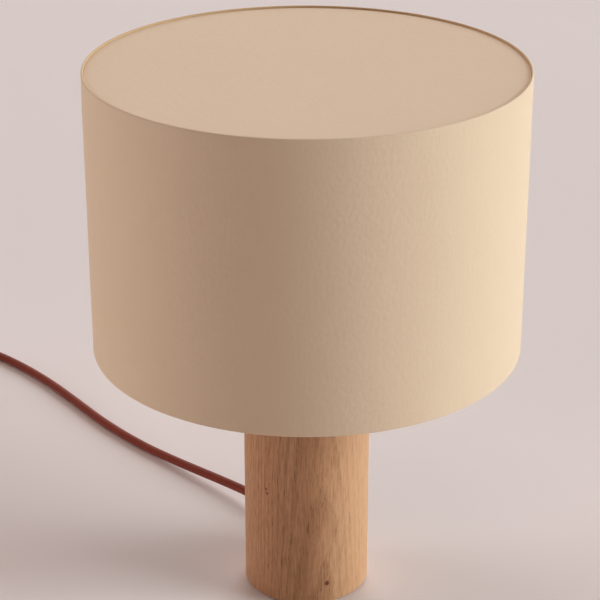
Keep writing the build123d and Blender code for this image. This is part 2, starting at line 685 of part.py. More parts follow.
def switch_works():
    """Rocker with its pivot pin, the closing screws, terminal blocks and spring strip."""
    half = ROCKER_L / 2
    outline = Polyline(
        (-half, 0, ROCKER_TOP),
        (0, 0, ROCKER_TOP - ROCKER_DIP),
        (half, 0, ROCKER_TOP),
        (half, 0, ROCKER_TOP - ROCKER_SIDE),
        (ROCKER_KEEL_W / 2, 0, -ROCKER_KEEL),
        (-ROCKER_KEEL_W / 2, 0, -ROCKER_KEEL),
        (-half, 0, ROCKER_TOP - ROCKER_SIDE),
        close=True,
    )
    rocker = extrude(make_face(outline), ROCKER_W / 2, both=True)
    rocker -= rod((0, -ROCKER_W, 0), (0, ROCKER_W, 0), PIVOT_D + 2 * RUNNING_FIT)
    pin_reach = ROCKER_W / 2 + ROCKER_SIDE_GAP + EAR_T
    head_top = HEAD_SINK + SWITCH_SCREW_HEAD_H
    screw = ring(SWITCH_SCREW_HEAD_D / 2, HEAD_SINK, head_top)
    screw += ring(SWITCH_SCREW_D / 2, head_top, head_top + SWITCH_SCREW_L)
    block_end = SWITCH_L / 2 - SWITCH_CORD_IN - WIRE_LEAD
    block_start = block_end - TERMINAL_BLOCK_L
    half_block = TERMINAL_BLOCK_W / 2
    strip_z = SWITCH_FLOOR + TERMINAL_BLOCK_H
    fixed = block(-block_end, -block_start, -half_block, half_block, SWITCH_FLOOR, strip_z)
    open_top = strip_z - CONTACT_OPEN
    facing = block(block_start, block_end, -half_block, half_block, SWITCH_FLOOR, open_top)
    strip = block(
        -block_end, (block_start + block_end) / 2, -STRIP_W / 2, STRIP_W / 2, strip_z, strip_z + STRIP_T
    )
    return {
        "switch_rocker": Pos(0, 0, ROCKER_Z) * Rot(0, -ROCKER_TILT, 0) * rocker,
        "switch_pivot": rod((0, -pin_reach, ROCKER_Z), (0, pin_reach, ROCKER_Z), PIVOT_D),
        "switch_screws": Part() + [seat * screw for seat in switch_seats()],
        "switch_terminals": Part() + [fixed, facing],
        "switch_strip": strip,
    }


def coil_stations():
    """Points and headings at each quarter turn: inwards below, up, then outwards above."""
    turns = COIL_QUARTERS / 4
    stations = []
    for i in range(COIL_QUARTERS + 1):
        from_end = min(i, COIL_QUARTERS - i) / 4
        radius = COIL_OUTER_R - COIL_PITCH * from_end
        level = min(max((i / 4 - turns / 2) * 2 + 0.5, 0), 1)
        slope = COIL_LAYER / (radius * math.pi / 2) if 0 < level < 1 else 0
        angle = math.radians(90 + 90 * i)
        outward = Vector(math.cos(angle), math.sin(angle), 0)
        along = Vector(-math.sin(angle), math.cos(angle), slope)
        middle = Vector(COIL_X, COIL_Y, COIL_Z + level * COIL_LAYER)
        stations.append((middle + outward * radius, along.normalized()))
    return stations


def biarc(start, heading, end, end_heading):
    """Two tangent arcs from one point and heading to another."""
    across = end - start
    both = heading + end_heading
    spread = 2 * (1 - heading.dot(end_heading))
    lean = across.dot(both)
    reach = (math.sqrt(lean * lean + spread * across.dot(across)) - lean) / spread
    knee, end_knee = start + heading * reach, end - end_heading * reach
    middle = (knee + end_knee) / 2
    return [
        Edge.make_tangent_arc(start, heading, middle),
        Edge.make_tangent_arc(middle, (end_knee - knee).normalized(), end),
    ]


def least_gap(path):
    """Least gap between the turns of a wound cord, measured on points along it."""
    count = COIL_SAMPLES * COIL_QUARTERS
    points = [path @ (i / count) for i in range(count + 1)]
    apart = 2 * COIL_SAMPLES
    pairs = ((a, b) for i, a in enumerate(points) for b in points[i + apart :])
    return min((a - b).length for a, b in pairs) - CORD_D


def coil():
    """The cord that is put away, wound in two layers, and the tie round its turns."""
    stations = coil_stations()
    first, last = stations[0][0], stations[-1][0]
    edges = [Edge.make_line((COIL_START_X, SWITCH_Y, COIL_Z), first)]
    for here, there in zip(stations, stations[1:]):
        edges += biarc(*here, *there)
    edges.append(Edge.make_line(last, (COIL_START_X, PLUG_Y, COIL_TOP_Z)))
    path = Wire(edges)
    print(f"cord_coil: least gap between turns {least_gap(path):.2f} mm")
    bow = TIE_W * TIE_W / 8 / (COIL_OUTER_R - COIL_QUARTERS / 8 * COIL_PITCH)
    x0 = COIL_X + COIL_OUTER_R - 1.75 * COIL_PITCH - CORD_R - bow - TIE_CLEAR
    x1 = COIL_X + COIL_OUTER_R - 0.75 * COIL_PITCH + CORD_R + TIE_CLEAR
    y0, y1 = COIL_Y - TIE_W / 2, COIL_Y + TIE_W / 2
    z0, z1 = COIL_Z - CORD_R - TIE_CLEAR, COIL_TOP_Z + CORD_R + TIE_CLEAR
    tie = block(x0 - TIE_T, x1 + TIE_T, y0, y1, z0 - TIE_T, z1 + TIE_T)
    return {
        "cord_coil": swept("cord_coil", path, CORD_D),
        "cord_tie": tie - block(x0, x1, y0, y1, z0, z1),
    }


def plug():
    """Flat two-pin plug with its tapered strain relief, at the cord's end."""
    rear, half = PLUG_REAR_W / 2, PLUG_W / 2
    plan = Polyline(
        (0, -rear),
        (PLUG_L / 4, -rear),
        (PLUG_L * 3 / 4, -half),
        (PLUG_L, -half),
        (PLUG_L, half),
        (PLUG_L * 3 / 4, half),
        (PLUG_L / 4, rear),
        (0, rear),
        close=True,
    )
    body = extrude(make_face(plan), PLUG_T / 2, both=True)
    body = fillet(body.faces().sort_by(Axis.Z)[-1].edges(), PLUG_EASE)
    body = fillet(body.faces().sort_by(Axis.Z)[0].edges(), PLUG_EASE)
    tracks = [side * PIN_PITCH / 2 for side in (-1, 1)]
    body -= [rod((PLUG_L - PIN_IN, y, 0), (PLUG_L, y, 0), PIN_D + 2 * GLUE_GAP) for y in tracks]
    pin = rod((PLUG_L - PIN_IN, 0, 0), (PLUG_L + PIN_L, 0, 0), PIN_D)
    pin = fillet(pin.edges().group_by(Axis.X)[-1], PIN_EASE)
    thin, thick = RELIEF_THIN_D / 2, RELIEF_THICK_D / 2
    relief = Pos(-RELIEF_L, 0, 0) * Rot(0, 90, 0) * Cone(
        thin, thick, RELIEF_L, align=(Align.CENTER, Align.CENTER, Align.MIN)
    )
    relief -= rod((-RELIEF_L, 0, 0), (RELIEF_CORD_IN - RELIEF_L, 0, 0), CORD_D + 2 * GLUE_GAP)
    pitch = RELIEF_L / (RELIEF_GROOVES + 1)
    for i in range(1, RELIEF_GROOVES + 1):
        x = i * pitch - RELIEF_L
        groove_r = thin + (thick - thin) * i * pitch / RELIEF_L - RELIEF_GROOVE_DEPTH
        x0, x1 = x - RELIEF_GROOVE_W / 2, x + RELIEF_GROOVE_W / 2
        cut = rod((x0, 0, 0), (x1, 0, 0), 2 * RELIEF_THICK_D) - rod((x0, 0, 0), (x1, 0, 0), 2 * groove_r)
        relief -= cut
    place = Pos(PLUG_X + RELIEF_L, PLUG_Y, PLUG_Z)
    return {
        "plug_body": place * body,
        "plug_pins": place * (Part() + [Pos(0, y, 0) * pin for y in tracks]),
        "plug_relief": place * relief,
    }


def cord():
    """Free runs of the cord, with the coil, the switch and the plug that lie on it."""
    place = Pos(SWITCH_X, SWITCH_Y, 0)
    on_switch = switch_shells() | switch_works()
    return {
        "cord_lead": cord_run("cord_lead", LEAD_ROUTE),
        "cord_tail": cord_run("cord_tail", TAIL_ROUTE),
        "cord_end": cord_run("cord_end", END_ROUTE),
        **coil(),
        **{name: place * shape for name, shape in on_switch.items()},
        **plug(),
    }


def main():
    """Build every piece and write each to a file of its own."""
    os.makedirs("parts", exist_ok=True)
    groups = (
        foot, oak_column, cord_inlet, tube_and_wires, lamp_holder, bulb, drum_shade, top_panel, cord,
    )
    for group in groups:
        for name, shape in group().items():
            export_step(shape, f"parts/{name}.step")


main()
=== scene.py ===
"""Table lamp with a round oak column, a cotton drum shade and a textile cord, dressed around its frame."""

from __future__ import annotations

import json
import logging
import math
from dataclasses import dataclass
from enum import Enum
from typing import Callable, Mapping, Sequence, Union

import bpy
from mathutils import Matrix, Vector, noise


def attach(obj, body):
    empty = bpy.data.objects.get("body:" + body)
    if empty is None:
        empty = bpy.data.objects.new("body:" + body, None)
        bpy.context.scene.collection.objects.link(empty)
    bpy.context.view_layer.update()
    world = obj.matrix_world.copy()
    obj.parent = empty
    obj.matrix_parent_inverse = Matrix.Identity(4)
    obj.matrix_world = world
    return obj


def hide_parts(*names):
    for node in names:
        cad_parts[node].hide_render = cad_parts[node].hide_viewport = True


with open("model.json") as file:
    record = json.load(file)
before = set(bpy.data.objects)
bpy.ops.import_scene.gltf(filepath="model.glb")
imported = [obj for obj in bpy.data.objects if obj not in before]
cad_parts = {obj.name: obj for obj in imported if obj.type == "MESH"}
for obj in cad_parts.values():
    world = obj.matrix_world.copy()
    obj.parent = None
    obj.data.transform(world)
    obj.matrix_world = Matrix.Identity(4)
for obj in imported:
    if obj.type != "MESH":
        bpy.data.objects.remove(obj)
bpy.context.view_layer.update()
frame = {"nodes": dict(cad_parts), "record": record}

LOG = logging.getLogger("table_lamp")
MM = 0.001
ON_AXIS = 1e-9
FULL_TURN = 2 * math.pi
QUARTER_TURN = math.pi / 2
SHARP_ANGLE = math.radians(38)
ROUND_STEPS = 5
FINE_SEGMENTS = 256
SEGMENTS = 128
SMALL_SEGMENTS = 64
ROD_SEGMENTS = 32
FLOAT = "NodeSocketFloat"
WHOLE = "NodeSocketInt"
VECTOR = "NodeSocketVector"
GEOMETRY = "NodeSocketGeometry"
MATERIAL = "NodeSocketMaterial"

Pair = tuple[float, float]
Triple = tuple[float, float, float]
Colour = tuple[float, float, float, float]
Corner = tuple[float, ...]
Outline = list[Pair]
Sockets = tuple[tuple[str, str], ...]
Socket = bpy.types.NodeSocket
Piece = bpy.types.Object
Given = Union[float, tuple, Socket]
Inputs = Mapping[Union[str, int], Given]


class Body(Enum):
    """Bodies of the frame that a piece can ride on."""

    BASE = "base"
    SHADE = "shade"
    PANEL = "panel"
    CONTACT = "bulb_contact"
    BULB = "bulb"


class Slot(Enum):
    """Material slots of the record."""

    OAK = "oak"
    FELT = "felt"
    STEEL = "steel"
    BRASS = "brass"
    NICKEL = "nickel"
    BLACK_PLASTIC = "black_plastic"
    WHITE_PLASTIC = "white_plastic"
    CERAMIC = "ceramic"
    BROWN_WIRE = "brown_wire"
    BLUE_WIRE = "blue_wire"
    CORD = "cord_textile"
    COTTON = "cotton"
    LINING = "lining"
    WHITE_WIRE = "white_wire"
    BOARD = "board"
    OPAL = "opal_glass"
    TIE = "tie_webbing"


class Follows(Enum):
    """What a cloth's weave lies along."""

    WRAPPED = "UV"
    FLAT = "Object"


def screen(*channels: int) -> Colour:
    """Turn an 8-bit screen colour into a linear one.

    Args:
        *channels: Red, green and blue from 0 to 255.

    Returns:
        Linear colour with full alpha.
    """
    shares = (channel / 255 for channel in channels)
    linear = (s / 12.92 if s <= 0.04045 else ((s + 0.055) / 1.055) ** 2.4 for s in shares)
    return (*linear, 1.0)


class Wiring:
    """Places and joins the nodes of one tree."""

    rough_range = (0.3, 0.7)
    patch_range = (0.35, 0.7)

    def __init__(self, tree: bpy.types.NodeTree) -> None:
        """Keep the tree that the nodes go into."""
        self.tree = tree

    def fill(self, node: bpy.types.Node, inputs: Inputs) -> bpy.types.Node:
        """Join a node's sockets to others, or set them to values.

        Args:
            node: The node.
            inputs: What goes into its sockets, by name or number.

        Returns:
            The same node.
        """
        for key, given in inputs.items():
            if isinstance(given, bpy.types.NodeSocket):
                self.tree.links.new(given, node.inputs[key])
            else:
                node.inputs[key].default_value = given
        return node

    def add(self, kind: str, inputs: Inputs | None = None, **settings: object) -> bpy.types.Node:
        """Place a node.

        Args:
            kind: Blender's type name of the node.
            inputs: What goes into its sockets, by name or number.
            **settings: Properties of the node itself.

        Returns:
            The placed node.
        """
        node = self.tree.nodes.new(kind)
        for name, setting in settings.items():
            setattr(node, name, setting)
        return self.fill(node, inputs or {})

    def out(self, kind: str, inputs: Inputs | None = None, **settings: object) -> Socket:
        """Place a node and give back its first output."""
        return self.add(kind, inputs, **settings).outputs[0]

    def maths(self, operation: str, *given: Given) -> Socket:
        """Work out one number from up to three."""
        return self.out("ShaderNodeMath", dict(enumerate(given)), operation=operation)

    def times(self, first: Given, second: Given) -> Socket:
        """One number times another."""
        return self.maths("MULTIPLY", first, second)

    def measure(self, operation: str, *given: Given) -> Socket:
        """Work out one number from two vectors."""
        inputs = dict(enumerate(given))
        return self.add("ShaderNodeVectorMath", inputs, operation=operation).outputs["Value"]

    def spread(self, given: Given, low: float, high: float, to: Pair = (0.0, 1.0)) -> Socket:
        """Stretch a number from one range to another, eased and clamped."""
        inputs = dict(enumerate((given, low, high, *to)))
        return self.out("ShaderNodeMapRange", inputs, interpolation_type="SMOOTHSTEP")

    def rough(self, pattern: Socket, to: Pair) -> Socket:
        """Roughness between two bounds that follows a pattern."""
        return self.spread(pattern, *self.rough_range, to)

    def patches(self, pattern: Socket, depth: float = 1.0) -> Socket:
        """Soft patches where a pattern is high, as strong as the depth."""
        return self.spread(pattern, *self.patch_range, (0.0, depth))

    def mix(self, factor: Given, first: Given, second: Given) -> Socket:
        """Blend two colours."""
        inputs = {0: factor, 6: first, 7: second}
        return self.add("ShaderNodeMix", inputs, data_type="RGBA").outputs[2]

    def stretch(self, vector: Socket, **inputs: Triple) -> Socket:
        """Scale, turn and move a pattern's coordinates."""
        return self.out("ShaderNodeMapping", {"Vector": vector, **inputs})

    def noise(self, vector: Socket, scale: Given, detail: float = 2.0, rough: float = 0.5) -> Socket:
        """Soft random pattern.

        Args:
            vector: Coordinates of the pattern.
            scale: Its scale, or one for each direction.
            detail: Octaves of finer pattern in it.
            rough: How much the finer ones count.

        Returns:
            Number about one half.
        """
        if isinstance(scale, tuple):
            vector, scale = self.stretch(vector, Scale=scale), 1.0
        inputs = {"Vector": vector, "Scale": scale, "Detail": detail, "Roughness": rough}
        return self.out("ShaderNodeTexNoise", inputs)

    def place(self, lay: Follows = Follows.FLAT) -> Socket:
        """Coordinates that a pattern lies along."""
        return self.add("ShaderNodeTexCoord").outputs[lay.value]

    def parts(self, vector: Socket) -> list[Socket]:
        """The three numbers of a vector."""
        return list(self.add("ShaderNodeSeparateXYZ", {0: vector}).outputs)

    def from_axis(self, vector: Socket) -> Socket:
        """Distance of a place from the Z axis."""
        squares = [self.maths("POWER", side, 2.0) for side in self.parts(vector)[:2]]
        return self.maths("SQRT", self.maths("ADD", *squares))

    def bump(self, height: Socket, distance: float, strength: float) -> Socket:
        """Normal that is tilted by a height."""
        return self.out("ShaderNodeBump", {"Height": height, "Distance": distance, "Strength": strength})


class NodeTool:
    """Node tree that is built once and shared."""

    name = ""
    kind = "ShaderNodeTree"
    inputs: Sockets = ()
    outputs: Sockets = ()

    def wire(self, wiring: Wiring, given: Mapping, made: bpy.types.Node) -> None:
        """Join the tree's inside; each tool has its own.

        Args:
            wiring: Wiring of the tree.
            given: The tree's inputs, by name.
            made: Node that takes the tree's outputs.
        """
        raise NotImplementedError

    def tree(self) -> bpy.types.NodeTree:
        """Build the tree once and give it back.

        Returns:
            The shared tree.
        """
        found = bpy.data.node_groups.get(self.name)
        if found is not None:
            return found
        tree = bpy.data.node_groups.new(self.name, self.kind)
        for way, sockets in (("OUTPUT", self.outputs), ("INPUT", self.inputs)):
            for name, kind in sockets:
                tree.interface.new_socket(name, in_out=way, socket_type=kind)
        wiring = Wiring(tree)
        self.wire(wiring, wiring.add("NodeGroupInput").outputs, wiring.add("NodeGroupOutput"))
        return tree


class Effect(NodeTool):
    """Shader node group that several finishes share."""

    def use(self, wiring: Wiring, **inputs: Given) -> Mapping:
        """Place the group in a material and give back its outputs, by name."""
        return wiring.add("ShaderNodeGroup", inputs, node_tree=self.tree()).outputs


class PlainWeave(Effect):
    """Threads that go over and under each other, with thick and thin places along them."""

    name = "plain_weave"
    inputs = (("Vector", VECTOR), ("Thread", FLOAT))
    outputs = (("Height", FLOAT), ("Slub", FLOAT))
    slub_width = 1.3 * MM
    slub_length = 45 * MM
    crossing_dip = 0.35

    def wire(self, wiring: Wiring, given: Mapping, made: bpy.types.Node) -> None:
        """Join the group's inside.

        Args:
            wiring: Wiring of the group.
            given: The group's inputs, by name.
            made: Node that takes its outputs.
        """
        waves = []
        for place in wiring.parts(given["Vector"])[:2]:
            turns = wiring.maths("DIVIDE", place, given["Thread"])
            waves.append(wiring.maths("SINE", wiring.times(turns, math.pi)))
        warp, weft = (wiring.maths("ABSOLUTE", wave) for wave in waves)
        over = wiring.maths("GREATER_THAN", wiring.times(*waves), 0.0)
        sides = []
        for thread, other in ((weft, warp), (warp, weft)):
            crown = wiring.maths("MULTIPLY_ADD", other, self.crossing_dip, 1 - self.crossing_dip)
            sides.append(wiring.times(thread, crown))
        fine, coarse = 1 / self.slub_width, 1 / self.slub_length
        ways = ((fine, coarse, fine), (coarse, fine, fine))
        slubs = wiring.maths("ADD", *(wiring.noise(given["Vector"], way, 1.5) for way in ways))
        woven = wiring.out("ShaderNodeMix", {0: over, 2: sides[0], 3: sides[1]})
        wiring.fill(made, {"Height": woven, "Slub": wiring.times(slubs, 0.5)})


class FineGrain(Effect):
    """Small even grain of a moulded, painted or fired surface, with broad handling marks."""

    name = "fine_grain"
    inputs = (("Vector", VECTOR), ("Size", FLOAT))
    outputs = (("Height", FLOAT), ("Marks", FLOAT))
    mark_scale = 55.0

    def wire(self, wiring: Wiring, given: Mapping, made: bpy.types.Node) -> None:
        """Join the group's inside.

        Args:
            wiring: Wiring of the group.
            given: The group's inputs, by name.
            made: Node that takes its outputs.
        """
        grain = wiring.noise(given["Vector"], wiring.maths("DIVIDE", 1.0, given["Size"]), 3.0, 0.6)
        marks = wiring.noise(given["Vector"], self.mark_scale, 4.0, 0.62)
        wiring.fill(made, {"Height": grain, "Marks": marks})


class Spot(Effect):
    """Ragged round spot with a soft halo."""

    name = "ragged_spot"
    inputs = (("Vector", VECTOR), ("Place", VECTOR), ("Radius", FLOAT), ("Reach", FLOAT))
    outputs = (("Core", FLOAT), ("Halo", FLOAT))
    ragged_scale = 900.0
    core_range = (0.6, 1.3)
    halo_range = (0.2, 1.0)

    def wire(self, wiring: Wiring, given: Mapping, made: bpy.types.Node) -> None:
        """Join the group's inside.

        Args:
            wiring: Wiring of the group.
            given: The group's inputs, by name.
            made: Node that takes its outputs.
        """
        gap = wiring.measure("DISTANCE", given["Vector"], given["Place"])
        uneven = wiring.maths("SUBTRACT", wiring.noise(given["Vector"], self.ragged_scale), 0.5)
        ragged = wiring.maths("ADD", gap, wiring.times(uneven, given["Radius"]))
        near = wiring.maths("DIVIDE", ragged, given["Radius"])
        away = wiring.maths("DIVIDE", ragged, given["Reach"])
        core = wiring.spread(near, *self.core_range, (1.0, 0.0))
        halo = wiring.spread(away, *self.halo_range, (1.0, 0.0))
        wiring.fill(made, {"Core": core, "Halo": halo})


WEAVE = PlainWeave()
GRAIN = FineGrain()
SPOT = Spot()


@dataclass(frozen=True)
class Finish:
    """Look of one material, made once as a Blender material."""

    name: str

    def look(self, wiring: Wiring) -> Inputs:
        """Join the nodes of the look; each finish has its own.

        Args:
            wiring: Wiring of the material.

        Returns:
            What feeds the surface, by socket name.
        """
        raise NotImplementedError

    def material(self) -> bpy.types.Material:
        """Build the material once and give it back.

        Returns:
            The finish as a Blender material.
        """
        found = bpy.data.materials.get(self.name)
        if found is not None:
            return found
        material = bpy.data.materials.new(self.name)
        material.use_nodes = True
        wiring = Wiring(material.node_tree)
        wiring.fill(material.node_tree.nodes["Principled BSDF"], self.look(wiring))
        return material


@dataclass(frozen=True)
class Blemish:
    """Small dark mark in the wood: a pin knot or an old insect hole."""

    place: Triple
    radius: float
    halo: float
    depth: float


@dataclass(frozen=True)
class OakFinish(Finish):
    """Oiled oak, turned from one piece, with growth rings, fibres, pores and a few pin knots, and painted
    light on the side that faces the low key light.
    """

    name: str = "oiled_oak"
    pale: Colour = screen(217, 169, 127)
    warm: Colour = screen(202, 150, 109)
    dark: Colour = screen(158, 106, 70)
    pore: Colour = screen(112, 69, 43)
    knot: Colour = screen(92, 38, 24)
    pith: Triple = (-8 * MM, -59 * MM, 0.0)
    cone: Triple = (math.radians(-1.4), math.radians(-0.6), 0.0)
    lean: Triple = (0.0, math.radians(-1.8), 0.0)
    ring_width: float = 1.7 * MM
    ring_wander: float = 3.0 * MM
    wander_scale: Triple = (38.0, 38.0, 7.0)
    broad_scale: Triple = (22.0, 22.0, 3.0)
    fibre_scale: Triple = (900.0, 900.0, 72.0)
    pore_scale: Triple = (1250.0, 1250.0, 105.0)
    # The side toward the low key light is painted paler (painted light). Its figure is fainter there,
    # partly as quarter-sawn grain and partly as painted light.
    key_lit_side: Triple = (0.94, -0.34, 0.0)
    lit_side_range: Pair = (0.2, 0.8)
    lit_side_figure: float = 0.4
    lit_side_painted_tone: float = 0.16
    tone_range: Pair = (0.30, 0.70)
    ring_rise: Pair = (0.0, 0.62)
    ring_fall: Pair = (0.86, 1.0)
    ring_depth: float = 0.3
    fibre_range: Pair = (0.40, 0.68)
    fibre_depth: float = 0.6
    pore_range: Pair = (0.54, 0.67)
    pore_depth: float = 0.62
    late_pores: Pair = (1.0, 0.3)
    halo_depth: float = 0.45
    radius: float = 45 * MM
    relief: float = 0.12 * MM
    blemishes: tuple[Blemish, ...] = ()

    def rings(self, wiring: Wiring, place: Socket) -> Socket:
        """Growth rings about a pith behind the column, wandering a little.

        Args:
            wiring: Wiring of the material.
            place: Object coordinates.

        Returns:
            Number from 0, early wood, to 1, late wood.
        """
        far = wiring.from_axis(wiring.stretch(place, Rotation=self.cone, Location=self.pith))
        shift = wiring.times(wiring.noise(place, self.wander_scale), self.ring_wander)
        turns = wiring.maths("DIVIDE", wiring.maths("ADD", far, shift), self.ring_width)
        share = wiring.maths("FRACT", turns)
        rise = wiring.spread(share, *self.ring_rise)
        return wiring.times(rise, wiring.spread(share, *self.ring_fall, (1.0, 0.0)))

    def marks(self, wiring: Wiring, place: Socket, colour: Socket) -> Socket:
        """Lay pin knots and their halos over the wood's colour.

        Args:
            wiring: Wiring of the material.
            place: Object coordinates.
            colour: Colour of the wood.

        Returns:
            Colour with the marks in it.
        """
        for mark in self.blemishes:
            spot = SPOT.use(wiring, Vector=place, Place=mark.place, Radius=mark.radius, Reach=mark.halo)
            colour = wiring.mix(wiring.times(spot["Halo"], self.halo_depth), colour, self.dark)
            colour = wiring.mix(wiring.times(spot["Core"], mark.depth), colour, self.knot)
        return colour

    def look(self, wiring: Wiring) -> Inputs:
        """Join the nodes of the wood.

        Args:
            wiring: Wiring of the material.

        Returns:
            What feeds the surface, by socket name.
        """
        place = wiring.place()
        late = self.rings(wiring, place)
        # Painted light: paler tone and fainter figure on the side that faces the low key light.
        side = wiring.maths("DIVIDE", wiring.measure("DOT_PRODUCT", place, self.key_lit_side), self.radius)
        figure = wiring.spread(side, *self.lit_side_range, (1.0, self.lit_side_figure))
        grain = wiring.stretch(place, Rotation=self.lean)
        fibre = wiring.noise(grain, self.fibre_scale, 4.0, 0.75)
        open_pores = wiring.spread(wiring.noise(grain, self.pore_scale), *self.pore_range)
        pores = wiring.times(open_pores, wiring.spread(late, 0.0, 0.6, self.late_pores))
        tone = wiring.maths("ADD", wiring.noise(grain, self.broad_scale), wiring.times(side, self.lit_side_painted_tone))
        colour = wiring.mix(wiring.spread(tone, *self.tone_range), self.warm, self.pale)
        bands = wiring.spread(late, 0.0, 1.0, (self.ring_depth, 0.0))
        streaks = wiring.spread(fibre, *self.fibre_range, (0.0, self.fibre_depth))
        holes = wiring.times(pores, self.pore_depth)
        for mask, tint in ((bands, self.dark), (streaks, self.dark), (holes, self.pore)):
            colour = wiring.mix(wiring.times(mask, figure), colour, tint)
        relief = wiring.maths("SUBTRACT", wiring.times(fibre, 0.5), pores)
        return {
            "Base Color": self.marks(wiring, place, colour),
            "Roughness": wiring.spread(fibre, 0.2, 0.8, (0.50, 0.66)),
            "Normal": wiring.bump(relief, self.relief, 0.5),
            "Specular IOR Level": 0.35,
        }


@dataclass(frozen=True)
class CottonFinish(Finish):
    """Fine plain-woven cotton, cream and all but even."""

    name: str = "cream_cotton"
    lay: Follows = Follows.WRAPPED
    pale: Colour = screen(241, 216, 186)
    # Darker tone of the cotton, for its thin slubs and for the painted shade between threads.
    shade: Colour = screen(237, 211, 181)
    thread: float = 0.42 * MM
    mottle: float = 2.6 * MM
    relief: float = 0.28 * MM
    cloud_scale: float = 14.0
    cloud_depth: float = 0.45
    slub_range: Pair = (0.15, 0.85)
    gap_shade_depth: float = 0.22
    weave_relief: float = 0.2
    mottle_stretch: float = 0.6

    def tone(self, wiring: Wiring, place: Socket, woven: Mapping) -> Socket:
        """Colour of the cloth, with painted shade between the threads.

        Args:
            wiring: Wiring of the material.
            place: Coordinates that the weave lies along.
            woven: Outputs of the weave.

        Returns:
            The colour's socket.
        """
        cloudy = wiring.noise(place, self.cloud_scale, 3.0, 0.55)
        colour = wiring.mix(wiring.spread(woven["Slub"], *self.slub_range), self.shade, self.pale)
        colour = wiring.mix(wiring.patches(cloudy, self.cloud_depth), colour, self.pale)
        # Painted shade: the cloth darkens where the threads dip between their crossings.
        painted_gap_shade = wiring.spread(woven["Height"], 0.0, 0.5, (self.gap_shade_depth, 0.0))
        return wiring.mix(painted_gap_shade, colour, self.shade)

    def look(self, wiring: Wiring) -> Inputs:
        """Join the nodes of the cloth.

        Args:
            wiring: Wiring of the material.

        Returns:
            What feeds the surface, by socket name.
        """
        place = wiring.place(self.lay)
        woven = WEAVE.use(wiring, Vector=place, Thread=self.thread)
        fine = 1 / self.mottle
        uneven = wiring.noise(place, (fine, self.mottle_stretch * fine, fine))
        relief = wiring.maths("ADD", wiring.times(woven["Height"], self.weave_relief), uneven)
        return {
            "Base Color": self.tone(wiring, place, woven),
            "Roughness": wiring.rough(woven["Slub"], (0.86, 0.96)),
            "Normal": wiring.bump(relief, self.relief, 0.6),
            "Specular IOR Level": 0.2,
            "Sheen Weight": 0.08,
            "Sheen Roughness": 0.6,
        }


@dataclass(frozen=True)
class CoverFinish(CottonFinish):
    """The same cotton round the drum, browner where it turns in inside the rims: painted shade of the rims'
    inner walls.
    """

    name: str = "cover_cotton"
    # Colour of the painted shade inside the rims.
    rim_painted_shade: Colour = screen(214, 180, 139)
    fold_r: float = 149.3 * MM
    rim_shade_full_r: float = 148.7 * MM

    def tone(self, wiring: Wiring, place: Socket, woven: Mapping) -> Socket:
        """Colour of the cloth, with painted shade where its fold lies inside the rims."""
        # Painted shade: the cloth turns browner toward the inside of the rims.
        inside = wiring.spread(wiring.from_axis(wiring.place()), self.rim_shade_full_r, self.fold_r, (1.0, 0.0))
        return wiring.mix(inside, super().tone(wiring, place, woven), self.rim_painted_shade)


@dataclass(frozen=True)
class BraidFinish(Finish):
    """Braided textile sleeve of the cord: strands that cross on the slant, with painted shade in the
    hollows between them.
    """

    name: str = "brick_braid"
    bright: Colour = screen(168, 76, 56)
    deep: Colour = screen(132, 56, 41)
    # Colour of the painted shade in the hollows between the strands.
    hollow: Colour = screen(76, 30, 22)
    strands: float = 8.0
    lead: float = 5.2 * MM
    relief: float = 0.25 * MM
    yarn_scale: float = 2600.0
    yarn_range: Pair = (0.4, 0.7)
    yarn_depth: float = 0.5
    yarn_relief: float = 0.25
    wear_scale: float = 60.0
    wear_depth: float = 0.25
    crevice_shade_range: Pair = (0.0, 0.30)
    crevice_shade_depth: float = 0.75
    attribute: str = "lay"

    def look(self, wiring: Wiring) -> Inputs:
        """Join the nodes of the braid.

        Args:
            wiring: Wiring of the material.

        Returns:
            What feeds the surface, by socket name.
        """
        lay = wiring.add("ShaderNodeAttribute", attribute_name=self.attribute).outputs["Vector"]
        cosine, sine, length = wiring.parts(lay)
        turn = wiring.times(wiring.maths("ARCTAN2", sine, cosine), self.strands)
        climb = wiring.times(length, FULL_TURN / self.lead)
        waves = [wiring.maths("SINE", wiring.maths(way, turn, climb)) for way in ("ADD", "SUBTRACT")]
        crossed = wiring.times(*waves)
        crown = wiring.maths("ABSOLUTE", crossed)
        yarn = wiring.noise(wiring.place(), self.yarn_scale)
        worn = wiring.noise(wiring.place(), self.wear_scale, 3.0)
        colour = wiring.mix(wiring.spread(crossed, -0.6, 0.6), self.deep, self.bright)
        dull = wiring.spread(yarn, *self.yarn_range, (0.0, self.yarn_depth))
        colour = wiring.mix(dull, colour, self.deep)
        colour = wiring.mix(wiring.patches(worn, self.wear_depth), colour, self.bright)
        # Painted shade: the braid darkens in the hollows between the strands.
        crevice_shade = wiring.spread(crown, *self.crevice_shade_range, (self.crevice_shade_depth, 0.0))
        relief = wiring.maths("MULTIPLY_ADD", yarn, self.yarn_relief, crown)
        return {
            "Base Color": wiring.mix(crevice_shade, colour, self.hollow),
            "Roughness": wiring.rough(yarn, (0.78, 0.92)),
            "Normal": wiring.bump(relief, self.relief, 0.8),
            "Specular IOR Level": 0.2,
            "Sheen Weight": 0.12,
        }


